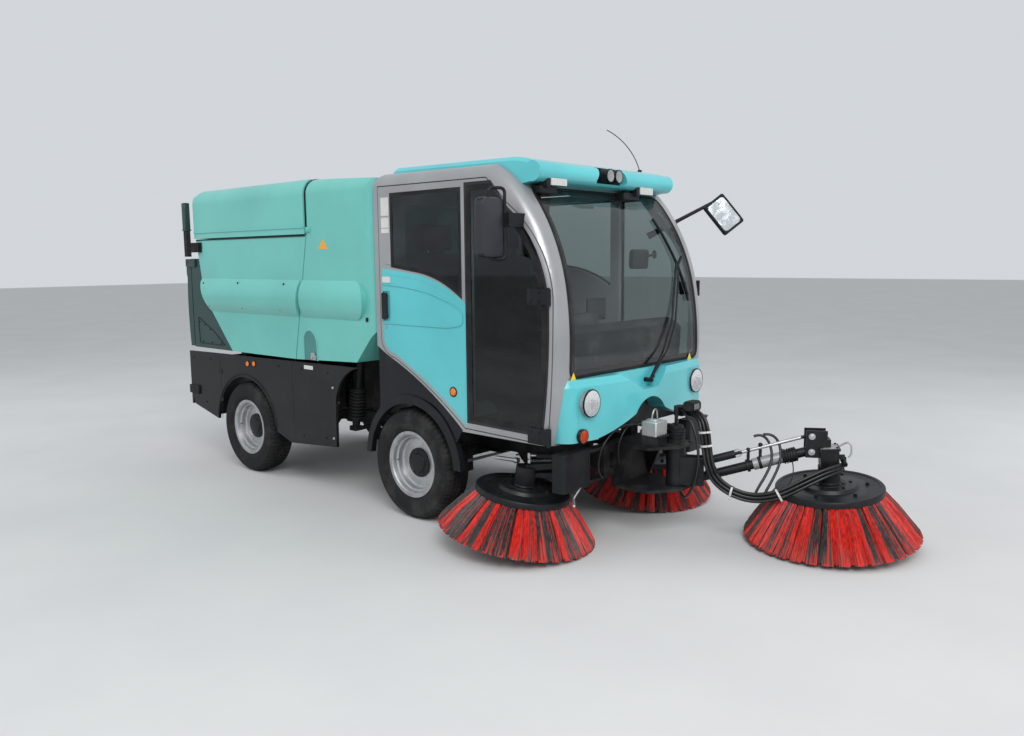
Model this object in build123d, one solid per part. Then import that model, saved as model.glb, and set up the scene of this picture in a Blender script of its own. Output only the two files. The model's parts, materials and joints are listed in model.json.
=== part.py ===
from build123d import *
import os

# Compact road sweeper, in millimetres. +Z is up and -Y is forward.
# Working coordinates have Y = 0 at the front axle and X = 0 in the middle of the chassis.
# The files are written about the point on the ground under the middle of the whole outline.
ORIGIN = (0, 76, 0)

# Driving dimensions of the vehicle
WHEELBASE = 1972
TYRE_R = 364.5
TYRE_HALF = 107
RIM_R = 203
AXLE_Z = TYRE_R
WHEEL_X = 683
KINGPIN_X = 600
STEER_ARM = 110
BODY_HALF = 790
RAIL_IN, RAIL_OUT = 230, 310
RAIL_MID = (RAIL_IN + RAIL_OUT) / 2
RAIL_LOW, RAIL_TOP = 440, 540
RAIL_FRONT = -1180
CROSS_MEMBERS = (-1150, -440, 380, 1500, 2480, 2758)
OUTRIGGERS = (1180, 2560)
CAB_MOUNTS = (-1000, 180)
JACK_Y = 1250
BRACKET_LOW, BRACKET_TOP = 300, 580

# Cab
CAB_REAR = 290
CAB_FLOOR = 652
CAB_ROOF = 2246
CAB_WALL = 42
CAB_ROUND = 85
GLASS = 6
SKIN = 13
RECESS = 9
DOOR_GAP = 6
DOOR_BAND = 24
DOOR_HINGE = (806, -1188)
ROOF_HALF = 697
NOSE_LOW, NOSE_CREASE, NOSE_TOP = 668, 978, 1022
INDICATOR = (-631, -1262, 703)

# Hopper
HOPPER_WALL = 26
HOPPER_TOP = 2268
LID_LOW = 1876
HOPPER_LOW = 972
SEAM_LOW, SEAM_HIGH = 1245, 1058
TIP_PIVOT = (2790, 905)
TIP_PIN_R = 16
STAND_X = 300
COVER_REAR = 2735
TAIL_HINGE = (2772, 1688)
LID_PROUD = 14
LID_HINGE = (806, 1870)
LID_HINGES_Y = (1250, 1800, 2400)
HINGE_R = 10
RAM_BASE = (2300, 540)
RAM_HEAD = (2600, 890)

# Front brushes: place of the disc on the right hand side, lean of the axle, radii and drop
BRUSH_DISC = (-672, -881, 327)
BRUSH_LEAN = (0.075, -0.15, 1)
BRUSH_R = 283
BRUSH_TIP_R = 475
BRUSH_DROP = 245
BRUSH_PIVOT = (-470, -1180)
BRUSH_PIN_R = 17.9
OUTER_TUFTS, INNER_TUFTS = 36, 24

# Third brush and its boom
OUTER_DISC = (502, -2255, 340)
OUTER_LEAN = (-0.096, 0.019, 1)
OUTER_R = 305
OUTER_TIP_R = 500
OUTER_DROP = 275
SLEW = (60, -1480)
BOOM_ROOT = (130, -1600, 365)
BOOM_END = (446, -2157, 560)
LINK_RISE = 92


def block(x0, x1, y0, y1, z0, z1):
    middle = Pos((x0 + x1) / 2, (y0 + y1) / 2, (z0 + z1) / 2)
    return middle * Box(abs(x1 - x0), abs(y1 - y0), abs(z1 - z0))


def bar(a, b, r):
    """A round bar from point a to point b."""
    a, b = Vector(*a), Vector(*b)
    foot = (Align.CENTER, Align.CENTER, Align.MIN)
    return Plane(origin=a, z_dir=b - a) * Cylinder(r, (b - a).length, align=foot)


def tube(points, bend, r):
    """A round bar bent at each inner point."""
    path = FilletPolyline(*points, radius=bend)
    return sweep(Plane(origin=path @ 0, z_dir=path % 0) * Circle(r), path=path)


def beam(a, b, width, height):
    """A square-edged bar from a to b, its width level."""
    a, b = Vector(*a), Vector(*b)
    side = Vector(0, 0, 1).cross(b - a)
    foot = (Align.CENTER, Align.CENTER, Align.MIN)
    return Plane(origin=a, x_dir=side, z_dir=b - a) * Box(width, height, (b - a).length, align=foot)


def outline(start, *legs):
    """A flat face: each leg is an end point, or a middle and an end point of an arc."""
    edges, here = [], start
    for leg in legs + (start,):
        if isinstance(leg[0], tuple):
            edges.append(ThreePointArc(here, leg[0], leg[1]))
            here = leg[1]
        elif leg != here:
            edges.append(Line(here, leg))
            here = leg
    return make_face(edges)


def side_on(face, x0, x1):
    """An outline in (y, z), as thick as from x0 to x1."""
    return extrude(Plane.YZ.offset(x0) * face, x1 - x0, dir=(1, 0, 0))


def end_on(face, y0, y1):
    """An outline in (x, z), as thick as from y0 to y1."""
    return extrude(Plane.XZ.offset(-y0) * face, y0 - y1, dir=(0, -1, 0))


def plan(face, z0, z1):
    """An outline in (x, y), as thick as from z0 to z1."""
    return extrude(Plane.XY.offset(z0) * face, z1 - z0, dir=(0, 0, 1))


def softened(points, radius):
    face = Polygon(*points, align=None)
    return fillet(face.vertices(), radius)


def other_side(shape):
    return mirror(shape, Plane.YZ)


def without(shape, pieces):
    """The shape with a pocket for each solid of the pieces."""
    for piece in pieces.solids():
        shape -= piece
    return shape


def both(shape):
    return shape + other_side(shape)


def turned(profile, x, y, z):
    """A ring about the axle line through (x, y, z): profile rows are (radius, distance outwards)."""
    face = Polygon(*profile, align=None)
    ring = revolve(face, Axis.Y)
    return Pos(x, y, z) * Rot(0, 0, 90) * ring


# Wheels

def tyre(x, y):
    s = 1 if x > 0 else -1
    half = [(RIM_R, 81.5), (221, 81.5), (238, 98), (285, TYRE_HALF), (332, 101), (354, 84), (TYRE_R, 62)]
    profile = [(r, -d) for r, d in half] + half[::-1]
    return turned([(r, -s * d) for r, d in profile], x, y, AXLE_Z)


def rim(x, y):
    s = 1 if x > 0 else -1
    dish = [(0, -32), (150, -32), (164, -8), (180, 28), (191, 34), (191, -78), (197, -89), (220, -89),
            (220, -84), (RIM_R, -82), (RIM_R, 82), (220, 84), (220, 89), (199, 88), (191, 80), (185, 58), (173, 50),
            (168, 20), (156, 12), (148, -16), (98, -18), (98, 18), (86, 26), (0, 26)]
    return turned([(r, -s * d) for r, d in dish], x, y, AXLE_Z)


def knuckle(s):
    """Fork round the end of the axle, the flange for the hub and the steering arm behind."""
    boss = plan(Circle(44), AXLE_Z - 95, AXLE_Z + 95)
    gap = block(-80, 37, -80, 80, AXLE_Z - 48, AXLE_Z + 48)
    web = block(37, 45, -44, 44, AXLE_Z - 90, AXLE_Z + 90)
    arm = block(-20, 20, 20, STEER_ARM + 20, AXLE_Z - 92, AXLE_Z - 66)
    body = boss + web - gap + arm - plan(Circle(20), AXLE_Z - 100, AXLE_Z + 100)
    body = Pos(KINGPIN_X, 0, 0) * body
    return body if s > 0 else other_side(body)


def tie_rod():
    z = AXLE_Z - 111
    rod = bar((-KINGPIN_X, STEER_ARM, z), (KINGPIN_X, STEER_ARM, z), 11)
    for s in (-1, 1):
        rod += Pos(s * KINGPIN_X, STEER_ARM, z + 4) * Cylinder(18, 22)
    return rod


def front_axle():
    tube = bar((-KINGPIN_X + 62, 0, AXLE_Z), (KINGPIN_X - 62, 0, AXLE_Z), 42)
    eye = Pos(KINGPIN_X, 0, AXLE_Z) * Cylinder(34, 90)
    neck = block(KINGPIN_X - 80, KINGPIN_X - 20, -32, 32, AXLE_Z - 40, AXLE_Z + 40)
    pin = Pos(KINGPIN_X, 0, AXLE_Z) * Cylinder(19.9, 196)
    seat = block(RAIL_IN, RAIL_OUT, -60, 60, AXLE_Z + 20, RAIL_LOW - 30)
    return tube + both(eye + neck + pin + seat)


def rear_axle():
    y = WHEELBASE
    tube = bar((-WHEEL_X + 38, y, AXLE_Z), (WHEEL_X - 38, y, AXLE_Z), 45)
    gear = turned([(0, -140), (60, -130), (112, -60), (118, 0), (112, 60), (60, 130), (0, 140)], 0, y, AXLE_Z)
    seat = block(RAIL_IN, RAIL_OUT, y - 60, y + 60, AXLE_Z + 20, RAIL_LOW - 30)
    return tube + gear + both(seat)


def leaf_springs():
    """Four packs between the rails and the axles, each of three leaves with its two eyes."""
    x = (RAIL_IN + RAIL_OUT) / 2
    pair = None
    for y in (0, WHEELBASE):
        pack = None
        for half, low in ((360, 30), (290, 22), (200, 14)):
            leaf = block(x - 30, x + 30, y - half, y + half, RAIL_LOW - low, RAIL_LOW - low + 8)
            pack = pack + leaf if pack else leaf
        for end in (-340, 340):
            pack += block(x - 30, x + 30, y + end - 18, y + end + 18, RAIL_LOW - 30, RAIL_LOW)
        pair = pair + pack if pair else pack
    return both(pair)


# Chassis

def chassis_frame():
    """Ladder of two rails and six cross members, with the lugs of the tip ram and two jack pads."""
    ladder = both(block(RAIL_IN, RAIL_OUT, RAIL_FRONT, TIP_PIVOT[0], RAIL_LOW, RAIL_TOP))
    for y in CROSS_MEMBERS:
        ladder += block(-RAIL_IN - 1, RAIL_IN + 1, y - 30, y + 30, RAIL_LOW + 10, RAIL_TOP - 10)
    ladder += both(block(RAIL_MID - 40, RAIL_MID + 40, JACK_Y - 40, JACK_Y + 40, RAIL_LOW - 12, RAIL_LOW))
    y, z = RAM_BASE
    ladder += block(-RAIL_IN - 1, RAIL_IN + 1, y - 30, y + 30, RAIL_LOW + 10, z - 60)
    lug = block(27, 39, y - 30, y + 30, RAIL_LOW + 10, z) + Pos(33, y, z) * Rot(0, 90, 0) * Cylinder(30, 12)
    return ladder + both(lug)


def body_mounts():
    """Brackets on the rails: outriggers to the skirts, cab and hopper rests, stands of the hopper's hinge."""
    y, z = TIP_PIVOT
    foot = [(y - 130, RAIL_TOP), (y, RAIL_TOP), (y + 32, z - 20), (y + 32, z + 30), (y - 35, z + 30)]
    stand = side_on(softened(foot, 10), STAND_X - 12, STAND_X + 12)
    mounts = stand + bar((240, y, z), (340, y, z), TIP_PIN_R)
    for y in OUTRIGGERS:
        mounts += block(RAIL_OUT, BODY_HALF - 30, y - 25, y + 25, RAIL_TOP - 60, RAIL_TOP)
    for y in CAB_MOUNTS:
        mounts += block(RAIL_MID - 40, RAIL_MID + 40, y - 40, y + 40, RAIL_TOP, CAB_FLOOR)
    mounts += block(RAIL_MID - 40, RAIL_MID + 40, 1300, 1380, RAIL_TOP, HOPPER_LOW - 82)
    return both(mounts)


def front_bracket():
    """Steelwork ahead of the rails: posts of the brush arms, plates and motor of the boom, valve block."""
    px, py = BRUSH_PIVOT
    sx, sy = SLEW
    front, low = py - 30, BRACKET_LOW
    bracket = block(-RAIL_OUT, RAIL_OUT, front, RAIL_FRONT, 378, BRACKET_TOP)
    bracket += block(-190, 200, front, RAIL_FRONT, low, 380)
    for z, half in ((378, 500), (BRACKET_TOP - 18, 610)):
        bracket += block(-half, half, front, py + 30, z, z + 18)
    bracket -= block(-250, -205, front - 1, py, 430, 530) + block(205, 250, front - 1, py, 430, 530)
    bracket += both(Pos(px, py, 481) * Cylinder(BRUSH_PIN_R, 206))
    plate = softened([(-190, py), (-190, sy + 40), (sx - 76, sy - 78), (sx + 92, sy - 78), (200, py)], 30)
    for z in (low, BRACKET_TOP - 18):
        bracket += plan(plate, z, z + 18)
    for x in (-190, 178):
        gusset = softened([(front + 2, low), (front + 2, BRACKET_TOP), (front - 120, BRACKET_TOP)], 6)
        bracket += side_on(gusset, x, x + 12)
    bracket += plan(Pos(sx, sy) * Circle(24.9), low, BRACKET_TOP)
    motor = plan(Pos(sx, sy) * Circle(56), BRACKET_TOP - 1, 662)
    for z in (606, 626, 646):
        motor -= plan(Pos(sx, sy) * (Circle(60) - Circle(50)), z, z + 7)
    motor += chamfer((Pos(sx, sy, 675) * Cylinder(46, 27)).edges().group_by(Axis.Z)[-1], 10)
    valves = block(-150, -30, -1470, -1370, BRACKET_TOP - 1, 686) + block(-144, -36, -1464, -1376, 685, 726)
    stalk = bar((sx, sy, 680), (sx, sy, 806), 11) + bar((sx, sy, 800), (sx + 30, -1545, 806), 10)
    lamp = block(sx - 8, sx + 82, -1600, -1530, 782, 838)
    lamp = chamfer(lamp.edges().filter_by(Axis.X), 12)
    lens_pocket = block(sx + 2, sx + 72, -1606, -1592, 790, 830)
    return bracket + motor + valves + stalk + (lamp - lens_pocket)


def rear_hitch():
    """Towing jaw: two plates with one upright hole."""
    y = 2852
    jaw = block(-60, 60, 2790, y + 60, 452, 468) + block(-60, 60, 2790, y + 60, 512, 528)
    jaw += block(-60, 60, 2790, 2802, 445, 535)
    return jaw - plan(Pos(0, y + 20) * Circle(16), 440, 540)


def engine():
    return block(-270, 270, 550, 1100, RAIL_TOP, 1150)


# Cab

def cab_side_face():
    low = ThreePointArc((-1190, CAB_FLOOR), (-1250, 1080), (-1222, 1500))
    high = TangentArc(low @ 1, (-905, 2125), tangent=low % 1)
    brow = TangentArc(high @ 1, (-735, 2236), tangent=high % 1)
    roof = Line(brow @ 1, (230, CAB_ROOF))
    tail = [Line((230, CAB_ROOF), (CAB_REAR, CAB_ROOF - 60)),
            Line((CAB_REAR, CAB_ROOF - 60), (CAB_REAR, CAB_FLOOR)),
            Line((CAB_REAR, CAB_FLOOR), (-1190, CAB_FLOOR))]
    return make_face([low, high, brow, roof] + tail)


def cab_form(inset):
    """The cab as one solid, shrunk by the inset."""
    face = cab_side_face()
    if inset:
        face = offset(face, amount=-inset, kind=Kind.INTERSECTION)
    half = BODY_HALF - inset
    body = side_on(face, -half, half)
    rims = [e for e in body.edges()
            if abs(abs(e.center().X) - half) < 0.5 and (e @ 0.5).Z > CAB_FLOOR + inset + 30
            and (e @ 0.5).Y < CAB_REAR - inset - 40]
    return fillet(rims, CAB_ROUND - inset)


WINDSCREEN = [(-690, 1032), (690, 1032), (652, 2096), (-652, 2096)]
REAR_PANE = [(-560, 1330), (560, 1330), (560, 2060), (-560, 2060)]


def door_face(gap):
    """Door outline in (y, z)."""
    face = outline((250, 2165), (250, 1180), ((205, 1096), (120, 1060)), ((-180, 905), (-520, 672)),
                   (-1160, 658), ((-1196, 1000), (-1200, 1440)), ((-1120, 1740), (-880, 2010)),
                   ((-815, 2075), (-720, 2160)))
    return offset(face, amount=-gap, kind=Kind.INTERSECTION) if gap else face


def door_panes():
    """The rear upper pane and the tall front pane, in (y, z)."""
    rear = outline((196, 2105), (196, 1668), (-140, 1622), ((-330, 1570), (-500, 1478)), (-500, 2105))
    front = outline((-575, 2105), (-575, 745), (-1105, 735), ((-1140, 1060), (-1146, 1430)),
                    ((-1070, 1710), (-860, 1960)), (-740, 2105))
    return rear, front


def door_skin_face():
    """Coloured panel of the door, in (y, z): under the rear pane and behind the front one."""
    return outline((300, 1650), (-130, 1601), ((-330, 1545), (-505, 1455)), ((-540, 1428), (-548, 1385)),
                   (-548, 600), (300, 600))


def cab_parts():
    full = cab_form(0)
    hollow = cab_form(CAB_WALL)
    shell = full - hollow
    screen = end_on(softened(WINDSCREEN, 60), -1400, -820)
    rear_pane = end_on(softened(REAR_PANE, 60), 200, 400)
    frame = shell - screen - rear_pane
    house = softened([(-440, 500), (-440, 690), (-340, 776), (340, 776), (440, 690), (440, 500)], 20)
    liner = softened([(-428, 480), (-428, 684), (-334, 766), (334, 766), (428, 684), (428, 480)], 16)
    frame -= side_on(house, -900, -372) + side_on(house, 372, 900)
    box = side_on(house, -BODY_HALF + CAB_WALL, -372) - side_on(liner, -900, -384)
    box = box - block(-900, 0, -500, 500, 400, CAB_FLOOR) - block(-900, 0, CAB_REAR, 500, 400, 800)
    frame = frame + box + other_side(box)
    corner = outline((300, 1130), (286, 1130), ((200, 1082), (118, 1046)), ((-180, 892), (-500, 662)),
                     (-500, 600), (300, 600))
    frame -= side_on(corner, -900, -BODY_HALF + CAB_WALL) + side_on(corner, BODY_HALF - CAB_WALL, 900)
    frame -= side_on(door_face(0), -900, -700) + side_on(door_face(0), 700, 900)
    skin = full - cab_form(GLASS)
    windshield = skin & screen
    back_glass = skin & rear_pane
    wall = shell & side_on(door_face(DOOR_GAP), -900, -700)
    rear, front = door_panes()
    cuts = side_on(rear, -900, -700) + side_on(front, -900, -700)
    panel = side_on(door_face(DOOR_GAP + DOOR_BAND) & door_skin_face(), -900, -700)
    panel = (full - cab_form(SKIN)) & panel
    panel -= block(-900, -BODY_HALF + RECESS, 152, 226, 1300, 1492)
    door = wall - cuts - panel
    door -= block(-900, -BODY_HALF + RECESS, 152, 226, 1300, 1492)
    panes = skin & cuts
    return frame, windshield, back_glass, door, panes, panel


def roof_cap():
    """Moulded roof with a scoop at the front for the two lamps."""
    face = outline((-880, 2112), (-975, 2124), ((-1046, 2180), (-985, 2238)), ((-900, 2262), (-800, 2270)),
                   (170, 2282), (215, 2262), (215, 2225))
    cap = side_on(face, -ROOF_HALF, ROOF_HALF)
    sides = [e for e in cap.edges() if abs(abs(e.center().X) - ROOF_HALF) < 0.5 and e.center().Z > 2230]
    cap = chamfer(sides, 22)
    scoop = end_on(softened([(-165, 2140), (165, 2140), (120, 2246), (-120, 2246)], 14), -1100, -985)
    return cap - scoop


def front_panel():
    """Nose panel between the headlights: a leaning crest, the wiper's notch and two lamp bezels."""
    face = outline((-740, -1100), (-745, -1190), ((-725, -1250), (-650, -1283)), ((0, -1342), (650, -1283)),
                   ((725, -1250), (745, -1190)), (740, -1100))
    nose = plan(face, NOSE_LOW, NOSE_CREASE)
    nose += Pos(0, 0, NOSE_CREASE) * extrude(face, NOSE_TOP - NOSE_CREASE, taper=18)
    arch = end_on(outline((-500, 600), (-500, 672), ((-330, 712), (-160, 770)), ((0, 856), (160, 770)),
                          ((330, 712), (500, 672)), (500, 600)), -1400, -1000)
    notch = Polygon((-300, NOSE_TOP + 1), (198, NOSE_TOP + 1), (68, 908), (-84, 908), align=None)
    notch = end_on(notch, -1400, -1268)
    bezel = Pos(*INDICATOR) * Rot(90, 0, 0) * Cylinder(40, 62)
    return nose - arch - notch + both(bezel)


def wiper():
    """Single wiper: spindle in the notch, cranked arm and blade."""
    x, z = 35, 950
    arm = bar((x, -1268, z), (x, -1318, z), 14)
    arm += tube([(x, -1304, z), (225, -1280, 1110), (340, -1270, 1290), (500, -1201, 1668)], 30, 7)
    edge = ThreePointArc((575, -1247, 1412), (500, -1193, 1668), (425, -1060, 1945))
    return arm + sweep(Plane(origin=edge @ 0, z_dir=edge % 0) * Rectangle(13, 13), path=edge)


def dashboard():
    face = outline((-1140, 720), (-1170, 1230), ((-1080, 1290), (-960, 1270)), (-900, 1180), (-990, 1000),
                   (-1010, 720))
    board = side_on(face, -620, 620)
    column = bar((-350, -960, 1068), (-350, -630, 1480), 32)
    return board + column


def steering_wheel():
    hub = Vector(-350, -606, 1509)
    face = Plane(origin=hub, z_dir=(0, 0.626, 0.78))
    ring = face * Torus(165, 14)
    spokes = face * Box(330, 26, 12)
    boss = face * Cylinder(42, 30)
    return ring + spokes + boss


def mirror_right():
    """Mirror on its hoop, in front of the driver's door frame."""
    x, y, z = -985, -922, 1862
    post_x, post_y = -898, -962
    low, high = 1692, 2076
    housing = fillet((Pos(x, y, z) * Box(166, 64, 320)).edges(), 24)
    path = [(x, y, z), (x, y, high), (post_x, post_y, high), (post_x, post_y, low), (x, y, low),
            (x, y, z - 10)]
    hoop = tube(path, 26, 9)
    return housing + hoop + block(post_x - 12, -BODY_HALF + 20, -1004, -950, 1868, 1942)


def mirror_left():
    """Forward mirror on a long tube from the left hand door frame."""
    middle = (1048, -1238, 1985)
    stem = tube([(BODY_HALF - 10, -797, 1842), (1040, -1200, 2088), middle], 40, 11)
    plate = Plane(origin=middle, x_dir=(0.336, -0.526, -0.781), z_dir=(-0.738, -0.662, 0.128))
    return stem + plate * fillet(Box(246, 172, 40).edges(), 16)


def hinge_covers():
    """Hinge barrels of the right hand door, each with its cover."""
    x, y = DOOR_HINGE
    pieces = None
    for z in (706, 1485):
        cover = block(-x - 12, -BODY_HALF + 10, y, y + 145, z - 44, z + 44)
        cover = chamfer([e for e in cover.edges() if e.center().X < -x - 11], 5)
        cover += Pos(-x, y, z) * Cylinder(12, 104)
        pieces = pieces + cover if pieces else cover
    return pieces


def door_handle():
    grip = block(-BODY_HALF - 16, -BODY_HALF - 8, 165, 218, 1310, 1482)
    grip = fillet(grip.edges().filter_by(Axis.X), 10)
    for z in (1328, 1464):
        grip += block(-BODY_HALF - 10, -BODY_HALF + RECESS, 182, 202, z - 8, z + 8)
    return grip


def door_fittings(mirror_piece, covers, handle):
    """Black pieces that ride on a door: its mirror, hinge covers and handle."""
    return ((mirror_piece + covers) - cab_form(0)) + handle


def seats():
    pair = None
    for x in (-350, 350):
        base = block(x - 170, x + 170, -320, 130, 777, 962)
        cushion = block(x - 235, x + 235, -370, 130, 960, 1090)
        back = side_on(softened([(40, 1090), (150, 1090), (232, 1720), (140, 1730)], 30), x - 225, x + 225)
        head = side_on(softened([(150, 1760), (215, 1760), (232, 1930), (160, 1930)], 20), x - 130, x + 130)
        seat = base + cushion + back + head + block(x - 60, x + 60, 160, 205, 1700, 1780)
        pair = pair + seat if pair else seat
    return pair


def fenders():
    """Black arches over the front wheels, the panels behind the doors and the guards under the nose."""
    y0 = -20
    outer = outline((435, 395), ((y0, 828), (-475, 395)), (-412, 395), ((y0, 770), (388, 395)))
    arch = side_on(outer, -BODY_HALF, -BODY_HALF + CAB_WALL - 1)
    panel = outline((286, 1126), ((200, 1079), (118, 1043)), ((-178, 889), (-494, 662)), (-430, 560),
                    ((-330, 720), (y0, 812)), ((150, 775), (286, 690)))
    cover = side_on(panel, -BODY_HALF + 8, -BODY_HALF + 30)
    rear = BRUSH_PIVOT[1] - 30
    guard = block(-800, -540, -1290, rear, 400, 610)
    guard = fillet([e for e in guard.edges().filter_by(Axis.Z) if e.center().Y < -1280], 26)
    guard -= block(-792, -548, -1282, rear + 1, 399, 602)
    guard += block(-612, -540, rear - 6, rear, 520, 610)
    lip = block(-806, -534, -1296, rear, 610, 618)
    lip = fillet([e for e in lip.edges().filter_by(Axis.Z) if e.center().Y < -1290], 28)
    return both(arch + cover + (guard + lip))


def headlight(r):
    """Right hand lamp, or with a wider radius the pocket for it."""
    return Pos(-579, -1290, 886) * Rot(90, 0, 0) * Cylinder(r, 60)


def indicator(r):
    return Pos(INDICATOR[0], INDICATOR[1] - 12, INDICATOR[2]) * Rot(90, 0, 0) * Cylinder(r, 60)


# Hopper and rear body

def hopper_section(inset):
    """Cross section in (x, z) between the lower edge and the top, with the round shoulders."""
    half = BODY_HALF - inset
    top = HOPPER_TOP - inset
    r = max(110 - inset, 20)
    return outline((-half, 900), (-half, top - r), ((-half + r * 0.29, top - r * 0.29), (-half + r, top)),
                   (half - r, top), ((half - r * 0.29, top - r * 0.29), (half, top - r)), (half, 900))


def hopper_form(inset):
    body = end_on(hopper_section(inset), 3000, 200)
    return body


def front_body_faces():
    """Side outlines of the body behind the cab and of its hollow, in (y, z)."""
    outer = outline((300, 1240), (515, 1000), (SEAM_LOW - 10, HOPPER_LOW), (SEAM_HIGH - 10, LID_LOW),
                    (SEAM_HIGH - 10, HOPPER_TOP), (300, 2228))
    inner = outline((326, 1254), (533, 1024), (540, 900), (SEAM_LOW - 36, 900), (SEAM_HIGH - 36, LID_LOW),
                    (SEAM_HIGH - 36, HOPPER_TOP - 26), (326, 2202))
    return outer, inner


def front_body_shell():
    outer, inner = front_body_faces()
    solid = side_on(outer, -900, 900) & hopper_form(0) & front_corners(0)
    return solid - (side_on(inner, -900, 900) & hopper_form(HOPPER_WALL) & front_corners(HOPPER_WALL))


def front_corners(inset):
    """Plan outline that rounds the two upright front corners."""
    half, y, r = BODY_HALF - inset, 300 + inset, 75 - inset
    face = outline((-half, 3000), (-half, y + r), ((-half + r * 0.29, y + r * 0.29), (-half + r, y)),
                   (half - r, y), ((half - r * 0.29, y + r * 0.29), (half, y + r)), (half, 3000))
    return plan(face, 800, 2400)


def tub_face(inset):
    """Side outline of the tipping hopper below the lid."""
    d = inset
    return Polygon((SEAM_LOW + d, HOPPER_LOW + d), (SEAM_HIGH + d, LID_LOW + d), (2632 - d, LID_LOW + d),
                   (2560 - d, 1530), (2432 - d, 1290), (2131 - d, HOPPER_LOW + d), align=None)


def pod(y0, y1):
    """The long bulge on the right hand side."""
    section = outline((-BODY_HALF + 5, 1285), (-BODY_HALF, 1285),
                      ((-BODY_HALF - 44, 1420), (-BODY_HALF, 1555)),
                      (-BODY_HALF + 5, 1555))
    return end_on(section, y1, y0)


def front_body(shell):
    """Lower part of the body behind the cab, with the front end of each side bulge."""
    body = shell & block(-900, 900, 200, 1400, 900, LID_LOW)
    end = side_on(outline((390, 1420), ((425, 1510), (520, 1556)),
                          (SEAM_HIGH + 60, 1556), (SEAM_HIGH + 60, 1285),
                          (520, 1285), ((425, 1330), (390, 1420))), -900, -700)
    cap = pod(380, 1140) & end
    return body + both(cap)


def body_hood(shell):
    """Top of the body behind the cab, up to the lid."""
    return shell & block(-900, 900, 200, 1400, LID_LOW, 2400)


def hopper_tub():
    outer = side_on(tub_face(0), -900, 900) & hopper_form(0)
    inside = Polygon((SEAM_LOW + 26, HOPPER_LOW + 26), (SEAM_HIGH + 26, 2000), (2606, 2000), (2606, 1745),
                     (2640, 1700), (2590, 1530), (2470, 1290), (2190, HOPPER_LOW + 26), align=None)
    tub = outer - (side_on(inside, -900, 900) & hopper_form(HOPPER_WALL))
    tub += both(pod(1150, 2560)) & side_on(tub_face(0), -900, 900)
    x, z = LID_HINGE
    for y in LID_HINGES_Y:
        tub += Pos(x, y + 62, z) * Rot(90, 0, 0) * Cylinder(HINGE_R, 40)
        tub += block(BODY_HALF - 2, x, y + 42, y + 82, z - 40, z - 2)
    return tub


def hopper_subframe():
    """Beams under the hopper that run back to its hinge, with the cheeks of the ram's eye."""
    top = HOPPER_LOW
    py, pz = TIP_PIVOT
    x = 262
    beams = both(block(x - 22, x + 22, 1300, py, top - 80, top))
    beams += both(Pos(x, py, pz) * Rot(0, 90, 0) * Cylinder(34, 44))
    beams -= both(Pos(x, py, pz) * Rot(0, 90, 0) * Cylinder(TIP_PIN_R + 0.05, 60))
    beams += block(-x + 21, x - 21, 1470, 1510, top - 60, top)
    hy, hz = RAM_HEAD
    beams += block(-x + 21, x - 21, hy - 30, hy + 30, hz + 54, top)
    cheek = block(27, 39, hy - 28, hy + 28, hz, hz + 56) + Pos(33, hy, hz) * Rot(0, 90, 0) * Cylinder(28, 12)
    return beams + both(cheek)


def hopper_lid():
    """Hollow lid with a raised band along its foot and the leaves of its hinges."""
    low = LID_LOW + 6
    face = Polygon((SEAM_HIGH, low), (SEAM_HIGH, HOPPER_TOP), (2560, HOPPER_TOP), (2632, 2215), (2632, low),
                   align=None)
    outer = side_on(face, -900, 900) & hopper_form(-LID_PROUD)
    inner = Polygon((SEAM_HIGH + 26, 1800), (SEAM_HIGH + 26, HOPPER_TOP - 26), (2548, HOPPER_TOP - 26),
                    (2606, 2200), (2606, 1800), align=None)
    lid = outer - (side_on(inner, -900, 900) & hopper_form(HOPPER_WALL - LID_PROUD))
    band = block(-900, 900, SEAM_HIGH + 4, 2628, 1926, 1940) & hopper_form(-LID_PROUD - 7)
    band -= hopper_form(-LID_PROUD + 2)
    lid += band
    x, z = LID_HINGE
    for y in LID_HINGES_Y:
        lid += Pos(x, y, z) * Rot(90, 0, 0) * Cylinder(HINGE_R, 80)
        lid += block(BODY_HALF + LID_PROUD - 1, x + 5, y - 40, y + 40, z + 4, z + 44)
    return lid


def rear_cover():
    """Open rear end of the hopper: cheeks, floor and top strip, with the ears of the tail door's hinge."""
    face = Polygon((2131, HOPPER_LOW), (2432, 1290), (2560, 1530), (2599, 1718), (COVER_REAR, 1718),
                   (COVER_REAR, HOPPER_LOW), align=None)
    cover = side_on(face, -BODY_HALF, BODY_HALF)
    cover -= block(-BODY_HALF + 28, BODY_HALF - 28, 2000, 2900, 1000, 1690)
    y, z = TAIL_HINGE
    out = BODY_HALF + 6
    ear = side_on(softened([(2650, 1650), (y + 28, 1650), (y + 28, 1716), (2650, 1716)], 12), out, out + 10)
    ear += block(BODY_HALF - 1, out + 1, 2656, 2726, 1654, 1712)
    ear -= Pos(out, y, z) * Rot(0, 90, 0) * Cylinder(12.05, 60)
    return cover + both(ear)


def tail_door():
    """Hollow door at the very rear, hinged on two pins along its top edge."""
    y = COVER_REAR + 10
    outer = outline((y, HOPPER_LOW + 6), (y, 1700), ((y + 8, 1710), (y + 27, 1716)),
                    ((2797, 1690), (2810, 1560)),
                    ((2822, 1250), (2806, HOPPER_LOW + 6)))
    inner = outline((2700, 1000), (2700, 1670), (2772, 1670), ((2778, 1620), (2784, 1550)),
                    ((2794, 1250), (2780, 1000)))
    door = side_on(outer, -BODY_HALF, BODY_HALF) - side_on(inner, -BODY_HALF + 28, BODY_HALF - 28)
    hy, hz = TAIL_HINGE
    pin = bar((BODY_HALF - 5, hy, hz), (BODY_HALF + 18, hy, hz), 12)
    return door + both(pin)


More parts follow.
